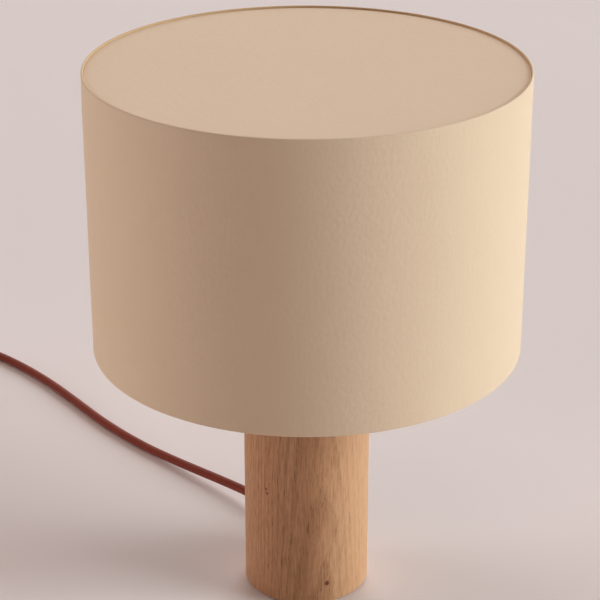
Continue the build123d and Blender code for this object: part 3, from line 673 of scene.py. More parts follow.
@dataclass(frozen=True)
class SmoothFinish(Finish):
    """Moulded, painted or fired surface: an even colour with fine grain and handling marks."""

    colour: Colour = screen(40, 40, 41)
    marked: Colour = screen(50, 49, 49)
    roughness: Pair = (0.42, 0.56)
    grain: float = 0.5 * MM
    relief: float = 0.03 * MM
    specular: float = 0.4

    def look(self, wiring: Wiring) -> Inputs:
        """Join the nodes of the surface.

        Args:
            wiring: Wiring of the material.

        Returns:
            What feeds the surface, by socket name.
        """
        worked = GRAIN.use(wiring, Vector=wiring.place(), Size=self.grain)
        return {
            "Base Color": wiring.mix(wiring.patches(worked["Marks"]), self.colour, self.marked),
            "Roughness": wiring.rough(worked["Marks"], self.roughness),
            "Normal": wiring.bump(worked["Height"], self.relief, 0.5),
            "Specular IOR Level": self.specular,
        }


@dataclass(frozen=True)
class MetalFinish(Finish):
    """Plain or plated metal with soft smears and fine draw lines."""

    colour: Colour = screen(190, 189, 186)
    smeared: Colour = screen(168, 166, 162)
    roughness: Pair = (0.24, 0.42)
    relief: float = 0.02 * MM
    drawn_scale: Triple = (300.0, 300.0, 2600.0)

    def look(self, wiring: Wiring) -> Inputs:
        """Join the nodes of the metal.

        Args:
            wiring: Wiring of the material.

        Returns:
            What feeds the surface, by socket name.
        """
        place = wiring.place()
        marks = GRAIN.use(wiring, Vector=place)["Marks"]
        drawn = wiring.noise(place, self.drawn_scale)
        return {
            "Base Color": wiring.mix(wiring.patches(marks), self.colour, self.smeared),
            "Roughness": wiring.rough(wiring.times(wiring.maths("ADD", drawn, marks), 0.5), self.roughness),
            "Normal": wiring.bump(drawn, self.relief, 0.4),
            "Metallic": 1.0,
        }


@dataclass(frozen=True)
class FeltFinish(Finish):
    """Pressed felt: short fibres lying every way."""

    name: str = "pressed_felt"
    dark: Colour = screen(58, 53, 50)
    pale: Colour = screen(92, 86, 82)
    tangle_scale: float = 1500.0
    cloud_scale: float = 90.0
    relief: float = 0.3 * MM

    def look(self, wiring: Wiring) -> Inputs:
        """Join the nodes of the felt.

        Args:
            wiring: Wiring of the material.

        Returns:
            What feeds the surface, by socket name.
        """
        place = wiring.place()
        tangle = wiring.noise(place, self.tangle_scale, 4.0, 0.7)
        both = wiring.times(wiring.maths("ADD", tangle, wiring.noise(place, self.cloud_scale, 3.0)), 0.5)
        return {
            "Base Color": wiring.mix(wiring.spread(both, 0.35, 0.65), self.dark, self.pale),
            "Roughness": wiring.rough(tangle, (0.9, 1.0)),
            "Normal": wiring.bump(tangle, self.relief, 0.7),
            "Specular IOR Level": 0.1,
            "Sheen Weight": 0.2,
        }


@dataclass(frozen=True)
class WebbingFinish(Finish):
    """Coarse woven strap of the cord's tie, painted lighter on its thread crowns and darker between them.
    """

    name: str = "woven_strap"
    dark: Colour = screen(28, 28, 30)
    pale: Colour = screen(62, 61, 62)
    thread: float = 0.8 * MM
    relief: float = 0.2 * MM

    def look(self, wiring: Wiring) -> Inputs:
        """Join the nodes of the strap.

        Args:
            wiring: Wiring of the material.

        Returns:
            What feeds the surface, by socket name.
        """
        woven = WEAVE.use(wiring, Vector=wiring.place(Follows.WRAPPED), Thread=self.thread)
        # Painted light and shade: the strap is paler on its thread crowns and darker where the threads dip.
        colour = wiring.mix(wiring.spread(woven["Height"], 0.1, 0.9), self.dark, self.pale)
        return {
            "Base Color": wiring.mix(woven["Slub"], colour, self.dark),
            "Roughness": wiring.rough(woven["Slub"], (0.7, 0.85)),
            "Normal": wiring.bump(woven["Height"], self.relief, 0.8),
            "Specular IOR Level": 0.25,
        }


@dataclass(frozen=True)
class FloorFinish(Finish):
    """Pale painted floor with hardly any marks."""

    name: str = "pale_floor"
    colour: Colour = screen(250, 240, 239)
    marked: Colour = screen(247, 237, 235)
    cloud_scale: float = 3.0

    def look(self, wiring: Wiring) -> Inputs:
        """Join the nodes of the floor.

        Args:
            wiring: Wiring of the material.

        Returns:
            What feeds the surface, by socket name.
        """
        cloud = wiring.noise(wiring.place(), self.cloud_scale, 3.0)
        colour = wiring.mix(cloud, self.colour, self.marked)
        return {"Base Color": colour, "Roughness": 0.8, "Specular IOR Level": 0.2}


OAK_MARKS = (
    Blemish((-38.8 * MM, -22.8 * MM, 90.0 * MM), 0.8 * MM, 2.4 * MM, 0.8),
    Blemish((-38.4 * MM, -23.5 * MM, 86.7 * MM), 0.9 * MM, 2.6 * MM, 0.8),
    Blemish((-0.4 * MM, -45.0 * MM, 17.0 * MM), 1.7 * MM, 4.5 * MM, 0.85),
)
FINISHES: dict[Slot, Finish] = {
    Slot.OAK: OakFinish(blemishes=OAK_MARKS),
    Slot.FELT: FeltFinish(),
    Slot.STEEL: MetalFinish("zinc_plate"),
    Slot.BRASS: MetalFinish("plain_brass", screen(214, 178, 104), screen(186, 148, 82)),
    Slot.NICKEL: MetalFinish("satin_nickel", screen(216, 211, 202), screen(190, 184, 174), (0.2, 0.34)),
    Slot.BLACK_PLASTIC: SmoothFinish("black_moulding"),
    Slot.WHITE_PLASTIC: SmoothFinish("white_moulding", screen(232, 230, 224), screen(222, 219, 211)),
    Slot.CERAMIC: SmoothFinish("fired_ceramic", screen(234, 230, 220), screen(220, 214, 200), (0.3, 0.5)),
    Slot.BROWN_WIRE: SmoothFinish("brown_insulation", screen(110, 68, 46), screen(96, 58, 40)),
    Slot.BLUE_WIRE: SmoothFinish("blue_insulation", screen(56, 96, 164), screen(48, 84, 146)),
    Slot.CORD: BraidFinish(),
    Slot.COTTON: CottonFinish(),
    Slot.LINING: SmoothFinish("lining_sheet", screen(235, 225, 208), screen(233, 222, 205), (0.5, 0.62)),
    Slot.WHITE_WIRE: SmoothFinish(
        "white_powder_coat",
        screen(236, 235, 231),
        screen(226, 224, 218),
        (0.38, 0.5),
    ),
    Slot.BOARD: SmoothFinish("stiff_board", screen(226, 218, 205), screen(212, 202, 186), (0.82, 0.94)),
    Slot.OPAL: SmoothFinish(
        "opal_glass_finish",
        screen(246, 245, 240),
        screen(241, 239, 232),
        (0.12, 0.2),
    ),
    Slot.TIE: WebbingFinish(),
}
# The panel's cloth is the cover's cotton painted a little paler: painted light on the top face.
PANEL_COTTON_PAINTED_LIGHT = CottonFinish(
    "panel_cotton",
    Follows.FLAT,
    screen(246, 218, 188),
    screen(242, 213, 183),
    relief=0.19 * MM,
)
COVER_COTTON = CoverFinish()


def linked(name: str, data: bpy.types.ID) -> Piece:
    """Put a new object into the scene.

    Args:
        name: Name of the object.
        data: Its mesh, curve, light or camera.

    Returns:
        The new object.
    """
    piece = bpy.data.objects.new(name, data)
    bpy.context.scene.collection.objects.link(piece)
    return piece


def smooth(piece: Piece) -> Piece:
    """Shade a mesh smooth, with its real corners sharp.

    Args:
        piece: Mesh object.

    Returns:
        The same piece.
    """
    piece.data.shade_smooth()
    piece.data.set_sharp_from_angle(angle=SHARP_ANGLE)
    return piece


def evaluated(piece: Piece) -> bpy.types.Mesh:
    """Give an object's mesh as its modifiers or its spline make it."""
    graph = bpy.context.evaluated_depsgraph_get()
    return bpy.data.meshes.new_from_object(piece.evaluated_get(graph), depsgraph=graph)


def applied(piece: Piece) -> Piece:
    """Keep what a piece's modifiers make as its plain mesh.

    Args:
        piece: Mesh object with modifiers.

    Returns:
        The same piece, without them.
    """
    mesh = evaluated(piece)
    piece.modifiers.clear()
    piece.data = mesh
    mesh.name = piece.name
    return smooth(piece)


class GeometryTool(NodeTool):
    """Geometry Nodes tree for pieces, which ends in one plain mesh with its finish."""

    kind = "GeometryNodeTree"
    outputs = (("Geometry", GEOMETRY),)
    sizes: Sockets = ()

    @property
    def inputs(self) -> Sockets:
        """The piece, the tool's own sizes and the finish."""
        return (("Geometry", GEOMETRY), *self.sizes, ("Finish", MATERIAL))

    def shape(self, wiring: Wiring, given: Mapping) -> Socket:
        """Join the nodes that make the geometry; each tool has its own.

        Args:
            wiring: Wiring of the tree.
            given: The tree's inputs, by name.

        Returns:
            The geometry.
        """
        raise NotImplementedError

    def wire(self, wiring: Wiring, given: Mapping, made: bpy.types.Node) -> None:
        """Join the tree's inside, from the tool's shape to a plain mesh.

        Args:
            wiring: Wiring of the tree.
            given: The tree's inputs, by name.
            made: Node that takes its outputs.
        """
        real = wiring.out("GeometryNodeRealizeInstances", {0: self.shape(wiring, given)})
        inputs = {"Geometry": real, "Material": given["Finish"]}
        wiring.fill(made, {0: wiring.out("GeometryNodeSetMaterial", inputs)})

    def circle(self, wiring: Wiring, sides: Given, radius: Given) -> Socket:
        """Round section of a tube."""
        inputs = {"Resolution": sides, "Radius": radius}
        return wiring.out("GeometryNodeCurvePrimitiveCircle", inputs, mode="RADIUS")

    def swept(self, wiring: Wiring, curve: Socket, section: Socket) -> Socket:
        """Mesh of a section along a curve, closed at its ends."""
        inputs = {"Curve": curve, "Profile Curve": section, "Fill Caps": True}
        return wiring.out("GeometryNodeCurveToMesh", inputs)

    def apply(self, piece: Piece, slot: Slot, **sizes: object) -> Piece:
        """Run the tree on a piece and keep the result as its plain mesh.

        Args:
            piece: Mesh object that the tree works on.
            slot: Slot whose finish the result gets.
            **sizes: The tree's inputs, by name.

        Returns:
            The same piece.
        """
        modifier = piece.modifiers.new(self.name, "NODES")
        modifier.node_group = self.tree()
        values = {"Finish": FINISHES[slot].material(), **sizes}
        for item in modifier.node_group.interface.items_tree:
            if item.in_out == "INPUT" and item.name in values:
                modifier[item.identifier] = values[item.name]
        return applied(piece)


class RepeatTool(GeometryTool):
    """Copies of a piece, each turned about Z and moved on from the one before."""

    name = "repeat"
    sizes = (("Count", WHOLE), ("Turn", FLOAT), ("Step", VECTOR))

    def shape(self, wiring: Wiring, given: Mapping) -> Socket:
        """Join the nodes that place the copies.

        Args:
            wiring: Wiring of the tree.
            given: The tree's inputs, by name.

        Returns:
            The geometry.
        """
        index = wiring.out("GeometryNodeInputIndex")
        place = wiring.out("ShaderNodeVectorMath", {0: given["Step"], "Scale": index}, operation="SCALE")
        points = wiring.out("GeometryNodePoints", {"Count": given["Count"], "Position": place})
        angles = wiring.out("ShaderNodeCombineXYZ", {"Z": wiring.times(index, given["Turn"])})
        turn = wiring.out("FunctionNodeEulerToRotation", {0: angles})
        inputs = {"Points": points, "Instance": given["Geometry"], "Rotation": turn}
        return wiring.out("GeometryNodeInstanceOnPoints", inputs)

    def around(self, piece: Piece, slot: Slot, count: int) -> Piece:
        """Repeat a piece evenly round Z."""
        return self.apply(piece, slot, Count=count, Turn=FULL_TURN / count, Step=(0.0, 0.0, 0.0))

    def along(self, piece: Piece, slot: Slot, count: int, step: Triple) -> Piece:
        """Repeat a piece in a row, by a step in metres."""
        return self.apply(piece, slot, Count=count, Turn=0.0, Step=step)


class TubeTool(GeometryTool):
    """Round tube along a line of points, which remembers its angle and length for the braid."""

    name = "tube_along_line"
    sizes = (("Radius", FLOAT), ("Sides", WHOLE))

    def kept(self, wiring: Wiring, curve: Socket, share: str) -> tuple[Socket, Socket]:
        """Keep one spline parameter of a curve for the mesh.

        Args:
            wiring: Wiring of the tree.
            curve: Curve whose parameter is kept.
            share: Name of the parameter, Factor or Length.

        Returns:
            The curve and the kept number.
        """
        keep = wiring.add("GeometryNodeCaptureAttribute")
        keep.capture_items.new("FLOAT", share)
        parameter = wiring.add("GeometryNodeSplineParameter").outputs[share]
        wiring.fill(keep, {"Geometry": curve, share: parameter})
        return keep.outputs["Geometry"], keep.outputs[share]

    def shape(self, wiring: Wiring, given: Mapping) -> Socket:
        """Join the nodes that make the tube.

        Args:
            wiring: Wiring of the tree.
            given: The tree's inputs, by name.

        Returns:
            The geometry.
        """
        line = wiring.out("GeometryNodeMeshToCurve", {0: given["Geometry"]})
        line, length = self.kept(wiring, line, "Length")
        section, share = self.kept(wiring, self.circle(wiring, given["Sides"], given["Radius"]), "Factor")
        angle = wiring.times(share, FULL_TURN)
        inputs = {"X": wiring.maths("COSINE", angle), "Y": wiring.maths("SINE", angle), "Z": length}
        lay = wiring.out("ShaderNodeCombineXYZ", inputs)
        tube = self.swept(wiring, line, section)
        inputs = {"Geometry": tube, "Name": BraidFinish.attribute, "Value": lay}
        return wiring.out("GeometryNodeStoreNamedAttribute", inputs, data_type="FLOAT_VECTOR")


class ThreadTool(GeometryTool):
    """Screw thread wound round a turned piece."""

    name = "thread_round_piece"
    sizes = tuple((size, FLOAT) for size in ("Radius", "Base", "Height", "Pitch", "Ridge"))
    steps_a_turn = 48
    ridge_sides = 10

    def shape(self, wiring: Wiring, given: Mapping) -> Socket:
        """Join the nodes that wind the thread.

        Args:
            wiring: Wiring of the tree.
            given: The tree's inputs, by name.

        Returns:
            The geometry.
        """
        inputs = {
            "Resolution": self.steps_a_turn,
            "Rotations": wiring.maths("DIVIDE", given["Height"], given["Pitch"]),
            "Start Radius": given["Radius"],
            "End Radius": given["Radius"],
            "Height": given["Height"],
        }
        spiral = wiring.out("GeometryNodeCurveSpiral", inputs)
        lift = wiring.out("ShaderNodeCombineXYZ", {"Z": given["Base"]})
        curve = wiring.out("GeometryNodeTransform", {0: spiral, "Translation": lift})
        ridge = self.swept(wiring, curve, self.circle(wiring, self.ridge_sides, given["Ridge"]))
        joined = wiring.add("GeometryNodeJoinGeometry", {0: given["Geometry"]})
        return wiring.fill(joined, {0: ridge}).outputs[0]

    def wind(
        self,
        piece: Piece,
        slot: Slot,
        root: float,
        low: float,
        high: float,
        pitch: float,
        ridge: float,
    ) -> Piece:
        """Wind a thread round a piece, with sizes in millimetres.

        Args:
            piece: The turned piece.
            slot: Slot whose finish the result gets.
            root: Radius that the thread stands on.
            low: Height of its start.
            high: Height of its end.
            pitch: Its rise in one turn.
            ridge: Radius of its round ridge.

        Returns:
            The same piece.
        """
        sizes = {"Radius": root, "Base": low, "Height": high - low, "Pitch": pitch, "Ridge": ridge}
        return self.apply(piece, slot, **{name: size * MM for name, size in sizes.items()})


REPEAT = RepeatTool()
TUBE = TubeTool()
THREAD = ThreadTool()


def made_of(
    name: str,
    points: Sequence[Sequence[float]],
    faces: Sequence[Sequence[int]],
    unwrapped: Sequence[Pair] = (),
) -> Piece:
    """Make a mesh object from points and faces.

    Args:
        name: Name of the piece.
        points: Points in metres, in the frame.
        faces: Point numbers of each face.
        unwrapped: UV place of each face corner, in metres, where a pattern needs it.

    Returns:
        The new object, in the scene.
    """
    mesh = bpy.data.meshes.new(name)
    mesh.from_pydata(points, [], faces)
    if unwrapped:
        layer = mesh.uv_layers.new(name="UVMap")
        for corner, place in zip(layer.data, unwrapped):
            corner.uv = place
    return smooth(linked(name, mesh))


def lofted(name: str, rows: Sequence[Sequence[Triple]], places: Sequence[Pair] = ()) -> Piece:
    """Join rows of points into a solid that is closed at both ends.

    Args:
        name: Name of the piece.
        rows: Rows of equally many points in metres, anticlockwise as seen from the last row.
        places: UV place of each point, where a pattern needs it.

    Returns:
        The new object, in the scene.
    """
    points = [point for row in rows for point in row]
    count = len(rows[0])
    last = len(points) - count
    faces = [list(range(count - 1, -1, -1)), list(range(last, last + count))]
    for a in range(last):
        b = a + 1 if (a + 1) % count else a + 1 - count
        faces.append([a, b, b + count, a + count])
    unwrapped = [places[i] for face in faces for i in face] if places else ()
    return made_of(name, points, faces, unwrapped)


def rounded(*corners: Corner) -> Outline:
    """Outline with arcs at its corners.

    Args:
        *corners: Radius, height and, where the corner is eased, its radius, in millimetres.

    Returns:
        Points of the outline in metres.
    """
    outline: Outline = []
    for i, (across, up, *eased) in enumerate(corners):
        here = Vector((across, up))
        if not any(eased):
            outline.append(tuple(here * MM))
            continue
        back = (Vector(corners[i - 1][:2]) - here).normalized()
        on = (Vector(corners[(i + 1) % len(corners)][:2]) - here).normalized()
        half = back.angle(on) / 2
        middle = here + (back + on).normalized() * (eased[0] / math.sin(half))
        start = here + back * (eased[0] / math.tan(half)) - middle
        sweep = start.angle_signed(here + on * (eased[0] / math.tan(half)) - middle)
        for step in range(ROUND_STEPS + 1):
            spoke = start.copy()
            spoke.rotate(Matrix.Rotation(-sweep * step / ROUND_STEPS, 2))
            outline.append(tuple((middle + spoke) * MM))
    return outline


def band(inner: float, outer: float, low: float, high: float, *eases: float) -> list[Corner]:
    """Corners of a plain ring's outline, or of a disc's where it starts on the axis.

    Args:
        inner: Inner radius in millimetres.
        outer: Outer radius.
        low: Height of the underside.
        high: Height of the top.
        *eases: Radius of the outer edges and of the inner ones, where they are eased.

    Returns:
        Corners for rounded().
    """
    out, into = (*eases, 0.0, 0.0)[:2]
    return [(inner, low, into), (outer, low, out), (outer, high, out), (inner, high, into)]


def arc(middle: Pair, radius: float, start: float, end: float, steps: int) -> Outline:
    """Points along an arc of an outline, from one angle to another in degrees."""
    angles = (math.radians(start + (end - start) * i / steps) for i in range(steps + 1))
    return [(middle[0] + radius * math.cos(a), middle[1] + radius * math.sin(a)) for a in angles]


def turned(name: str, outline: Outline, segments: int = SEGMENTS, place: Matrix | None = None) -> Piece:
    """Turn an outline about Z.

    Args:
        name: Name of the piece.
        outline: Radius and height pairs in metres, with the solid on the left.
        segments: Steps round the axis.
        place: Where the piece goes from the axis, if it isn't there already.

    Returns:
        The turned piece, with a UV map of its arc and height in metres.
    """
    points, rings, faces, unwrapped = [], [], [], []
    for radius, height in outline:
        steps = segments if radius > ON_AXIS else 1
        rings.append([len(points) + i % steps for i in range(segments + 1)])
        for i in range(steps):
            angle = FULL_TURN * i / segments
            points.append((radius * math.cos(angle), radius * math.sin(angle), height))
    girth = FULL_TURN * max(radius for radius, _ in outline)
    for a in range(len(outline)):
        b = (a + 1) % len(outline)
        for i in range(segments):
            corners = [(rings[a][i], i, a), (rings[a][i + 1], i + 1, a)]
            corners += [(rings[b][i + 1], i + 1, b), (rings[b][i], i, b)]
            kept = [c for j, c in enumerate(corners) if c[0] != corners[j - 1][0]]
            if len(kept) > 2:
                faces.append([c[0] for c in kept])
                unwrapped += [(girth * c[1] / segments, outline[c[2]][1]) for c in kept]
    piece = made_of(name, points, faces, unwrapped)
    if place is not None:
        piece.data.transform(place)
    return piece


def moulded(name: str, plan: Outline, low: float, high: float, ease: float) -> Piece:
    """Make a solid over a plan, with rounded edges above and below.

    Args:
        name: Name of the piece.
        plan: Points of the plan in metres, anticlockwise.
        low: Height of the underside in millimetres.
        high: Height of the top.
        ease: Radius of the edges.

    Returns:
        The moulded piece.
    """
    spots = [Vector(spot) for spot in plan]
    ways = [on - back for on, back in zip(spots[1:] + spots[:1], spots[-1:] + spots[:-1])]
    inward = [Vector((-way.y, way.x)).normalized() for way in ways]
    turns = [QUARTER_TURN * step / ROUND_STEPS for step in range(ROUND_STEPS + 1)]
    levels = [(1 - math.sin(turn), low + ease * (1 - math.cos(turn))) for turn in turns]
    levels += [(inset, low + high - height) for inset, height in reversed(levels)]
    rows = []
    for inset, height in levels:
        edge = [spot + way * (inset * ease * MM) for spot, way in zip(spots, inward)]
        rows.append([(*spot, height * MM) for spot in edge])
    return lofted(name, rows)


def bored(piece: Piece, cutter: Piece) -> Piece:
    """Cut one mesh out of another and remove the cutter.

    Args:
        piece: The piece.
        cutter: What is cut out of it.

    Returns:
        The same piece.
    """
    cut = piece.modifiers.new("bore", "BOOLEAN")
    cut.operation = "DIFFERENCE"
    cut.solver = "EXACT"
    cut.object = cutter
    applied(piece)
    bpy.data.objects.remove(cutter)
    return piece


def clamped(number: float) -> float:
    """Hold a number between 0 and 1."""
    return min(max(number, 0.0), 1.0)


def shifted(piece: Piece, move: Callable[[Vector], Vector]) -> Piece:
    """Move each point of a mesh by a rule.

    Args:
        piece: The piece.
        move: Gives a point's new place.

    Returns:
        The same piece.
    """
    for vertex in piece.data.vertices:
        vertex.co = move(vertex.co)
    piece.data.update()
    return piece


def settle(piece: Piece, body: Body, slot: Slot, *nodes: str, finish: Finish | None = None) -> Piece:
    """Give a new piece its finish and its body, and hide the frame nodes that it stands for.

    Args:
        piece: The finished mesh object.
        body: Body that it moves with.
        slot: Material slot of the record.
        *nodes: Frame nodes that it stands for.
        finish: Finish, where it isn't the slot's own.

    Returns:
        The same piece.
    """
    piece.data.materials.clear()
    piece.data.materials.append((finish or FINISHES[slot]).material())
    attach(piece, body.value)
    if nodes:
        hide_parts(*nodes)
    LOG.info("%s on %s", piece.name, body.value)
    return piece


def dress_frame() -> None:
    """Put the slots' finishes on the frame's own nodes, those that stay in sight and those inside."""
    for part in frame["record"]["subparts"]:
        node = frame["nodes"][part["node"]]
        node.data.materials.clear()
        node.data.materials.append(FINISHES[Slot(part["material_slot"])].material())
        LOG.info("%s dressed", part["node"])


@dataclass
class OakColumn:
    """Turned column with its foot pad and the bush of its cord hole; sizes in millimetres."""

    radius: float = 45.0
    foot: float = 0.8
    top: float = 205.0
    ease: float = 1.5
    bore_r: float = 5.2
    recess_r: float = 26.5
    recess_top: float = 30.0
    seat_r: float = 39.0
    seat_top: float = 3.8
    pad_r: float = 43.0
    pad_ease: float = 0.25
    cord_z: float = 12.0
    cord_hole_r: float = 5.2
    flange_seat: float = 43.8
    flange_face: float = 45.4
    flange_r: float = 7.0
    flange_ease: float = 0.6
    barrel_r: float = 5.0
    barrel_l: float = 13.0
    barrel_bore_r: float = 3.7
    clearance: float = 0.2

    def build(self) -> None:
        """Build and dress the column, the pad and the bush."""
        self.column()
        self.pad()
        self.bush()

    def sideways(self) -> Matrix:
        """Place of a turned piece that points out of the cord hole, along +Y."""
        return Matrix.Translation((0, 0, self.cord_z * MM)) @ Matrix.Rotation(-QUARTER_TURN, 4, "X")

    def column(self) -> None:
        """Turn the column and bore its cord hole."""
        outline = rounded(
            (self.recess_r, self.seat_top),
            (self.seat_r, self.seat_top),
            (self.seat_r, self.foot),
            (self.radius, self.foot, self.ease),
            (self.radius, self.top, self.ease),
            (self.bore_r, self.top),
            (self.bore_r, self.recess_top),
            (self.recess_r, self.recess_top),
        )
        column = turned("column_turned", outline, FINE_SEGMENTS)
        start, end, seat_r = self.recess_r / 2, 2 * self.radius, self.flange_r + self.clearance
        drill = rounded(
            (0, start),
            (self.cord_hole_r, start),
            (self.cord_hole_r, self.flange_seat),
            (seat_r, self.flange_seat),
            (seat_r, end),
            (0, end),
        )
        cutter = turned("cord_hole_drill", drill, SMALL_SEGMENTS, self.sideways())
        settle(bored(column, cutter), Body.BASE, Slot.OAK, "oak_column")

    def pad(self) -> None:
        """Felt disc under the column."""
        outline = rounded(*band(0, self.pad_r, 0, self.foot, self.pad_ease))
        pad = settle(turned("felt_pad", outline), Body.BASE, Slot.FELT, "foot_pad")

    def bush(self) -> None:
        """Flanged bush that lines the cord hole."""
        start = self.flange_seat - self.barrel_l
        outline = rounded(
            (self.barrel_bore_r, start),
            (self.barrel_r, start),
            (self.barrel_r, self.flange_seat),
            (self.flange_r, self.flange_seat),
            (self.flange_r, self.flange_face, self.flange_ease),
            (self.barrel_bore_r, self.flange_face, self.flange_ease),
        )
        bush = turned("cord_bush_moulded", outline, SMALL_SEGMENTS, self.sideways())
        settle(bush, Body.BASE, Slot.BLACK_PLASTIC, "cord_bush")


@dataclass
class DrumShade:
    """Cotton drum on a stiff lining, with its seam, wire rings and carrier; sizes in millimetres."""

    radius: float = 150.0
    cover_t: float = 0.7
    lining_r: float = 149.2
    lining_in_r: float = 148.6
    lining_ease: float = 0.2
    bottom: float = 192.15
    top: float = 392.15
    fold_t: float = 0.22
    fold_depth: float = 3.1
    rows: int = 48
    ripple: float = 0.22
    ripple_size: float = 60.0
    ripple_fade: float = 18.0
    seam_angle: float = 83.0
    seam_w: float = 10.0
    seam_t: float = 0.4
    seam_edge: float = 0.02
    seam_taper: float = 0.9
    wire_r: float = 1.5
    wire_sides: int = 24
    wire_ring_r: float = 147.0
    bottom_ring_z: float = 196.15
    top_ring_z: float = 387.15
    carrier_in_r: float = 20.1
    carrier_r: float = 29.7
    carrier_z: float = 238.15
    carrier_t: float = 2.0
    carrier_ease: float = 0.6
    carrier_in_ease: float = 0.4
    arm_r: float = 1.75
    arm_count: int = 3
    arm_first: float = 60.0
    weld: float = 1.0

    def build(self) -> None:
        """Build and dress the cloth, the lining and the wire frame."""
        self.lining()
        cover = self.cover()
        seam = self.seam()
        self.wire_rings()
        self.carrier()
        self.arms()

    def fold_r(self) -> float:
        """Radius of the cover's roll over the rims."""
        return (self.radius - self.lining_in_r + self.fold_t) / 2

    def heights(self) -> list[float]:
        """Heights of the wall's rows, from one roll to the other."""
        low, high = self.bottom + self.fold_r(), self.top - self.fold_r()
        return [low + (high - low) * i / self.rows for i in range(self.rows + 1)]

    def lining(self) -> None:
        """Stiff sheet that ends under the cover's rolls."""
        low, *_, high = self.heights()
        ease = self.lining_ease
        outline = rounded(*band(self.lining_in_r, self.lining_r, low, high, ease, ease))
        lining = turned("lining_sheet_drum", outline, FINE_SEGMENTS)
        settle(lining, Body.SHADE, Slot.LINING, "shade_lining")

    def cover(self) -> Piece:
        """Cotton round the lining, rolled over both rims and turned in.

        Returns:
            The cover.
        """
        low, *climb, high = self.heights()
        roll, inner = self.fold_r(), self.radius - self.cover_t
        middle, fold_in = self.radius - roll, self.lining_in_r - self.fold_t
        low_end, high_end = self.bottom + self.fold_depth, self.top - self.fold_depth
        outline = [(self.lining_in_r, low_end), (fold_in, low_end)]
        outline += arc((middle, low), roll, 180, 360, 2 * ROUND_STEPS)
        outline += [(self.radius, z) for z in climb]
        outline += arc((middle, high), roll, 0, 180, 2 * ROUND_STEPS)
        outline += [(fold_in, high_end), (self.lining_in_r, high_end), (self.lining_in_r, high)]
        outline += [(inner, z) for z in (high, *reversed(climb), low)]
        outline.append((self.lining_in_r, low))
        cover = turned("cotton_cover", [(r * MM, z * MM) for r, z in outline], FINE_SEGMENTS)
        shifted(cover, self.rippled)
        return settle(cover, Body.SHADE, Slot.COTTON, "shade_cover", finish=COVER_COTTON)

    def rippled(self, point: Vector) -> Vector:
        """Move a point of the cover by the slight unevenness of glued cloth, less near the rims.

        Args:
            point: A point of the cover.

        Returns:
            Its new place.
        """
        outward = Vector((point.x, point.y, 0))
        if outward.length < (self.radius - self.cover_t / 2) * MM:
            return point
        height = point.z / MM
        fade = clamped(min(height - self.bottom, self.top - height) / self.ripple_fade)
        uneven = noise.noise(point / (self.ripple_size * MM))
        return point + outward.normalized() * (uneven * fade * self.ripple * MM)

    def seam(self) -> Piece:
        """Lap of the cover's end over its start, down the back.

        Returns:
            The lap.
        """
        half, flat, under = self.seam_w / 2, self.seam_w / 2 - self.seam_taper, -self.cover_t / 2
        section = [(-half, self.seam_edge), (-flat, self.seam_t)]
        section += [(flat, self.seam_t), (half, self.seam_edge), (half, under), (-half, under)]
        rows, places = [], []
        for z in self.heights():
            row = []
            for along, out in section:
                angle = math.radians(self.seam_angle) + along / self.radius
                reach = (self.radius + out) * MM
                row.append((reach * math.cos(angle), reach * math.sin(angle), z * MM))
                places.append((along * MM, z * MM))
            rows.append(row)
        return settle(lofted("cover_lap", rows, places), Body.SHADE, Slot.COTTON, "shade_seam")

    def wire_rings(self) -> None:
        """Round wire rings of the shade's frame, one at each rim."""
        last = 360 - 360 / self.wire_sides
        for rim, height in (("bottom", self.bottom_ring_z), ("top", self.top_ring_z)):
            middle = (self.wire_ring_r * MM, height * MM)
            outline = arc(middle, self.wire_r * MM, 0, last, self.wire_sides - 1)
            ring = turned(f"{rim}_ring_wire", outline, FINE_SEGMENTS)
            settle(ring, Body.SHADE, Slot.WHITE_WIRE, f"{rim}_wire_ring")

    def carrier(self) -> None:
        """Flat ring that sits on the holder's flange."""
        low, high = self.carrier_z, self.carrier_z + self.carrier_t
        eases = (self.carrier_ease, self.carrier_in_ease)
        outline = rounded(*band(self.carrier_in_r, self.carrier_r, low, high, *eases))
        settle(turned("carrier_ring_pressed", outline), Body.SHADE, Slot.WHITE_WIRE, "carrier_ring")

    def arms(self) -> None:
        """Three wire arms from the carrier ring out to the bottom ring."""
        middle = self.carrier_z + self.carrier_t / 2
        start = Vector((self.carrier_r - self.weld, 0, middle)) * MM
        end = Vector((self.wire_ring_r - self.weld, 0, self.bottom_ring_z + self.weld / 2)) * MM
        along = end - start
        outline = rounded(*band(0, self.arm_r, 0, along.length / MM))
        lie = Matrix.Translation(start) @ along.to_track_quat("Z", "Y").to_matrix().to_4x4()
        place = Matrix.Rotation(math.radians(self.arm_first), 4, "Z") @ lie
        arms = turned("carrier_arms", outline, ROD_SEGMENTS, place)
        REPEAT.around(arms, Slot.WHITE_WIRE, self.arm_count)
        nodes = [f"carrier_arm_{i + 1}" for i in range(self.arm_count)]
        settle(arms, Body.SHADE, Slot.WHITE_WIRE, *nodes)


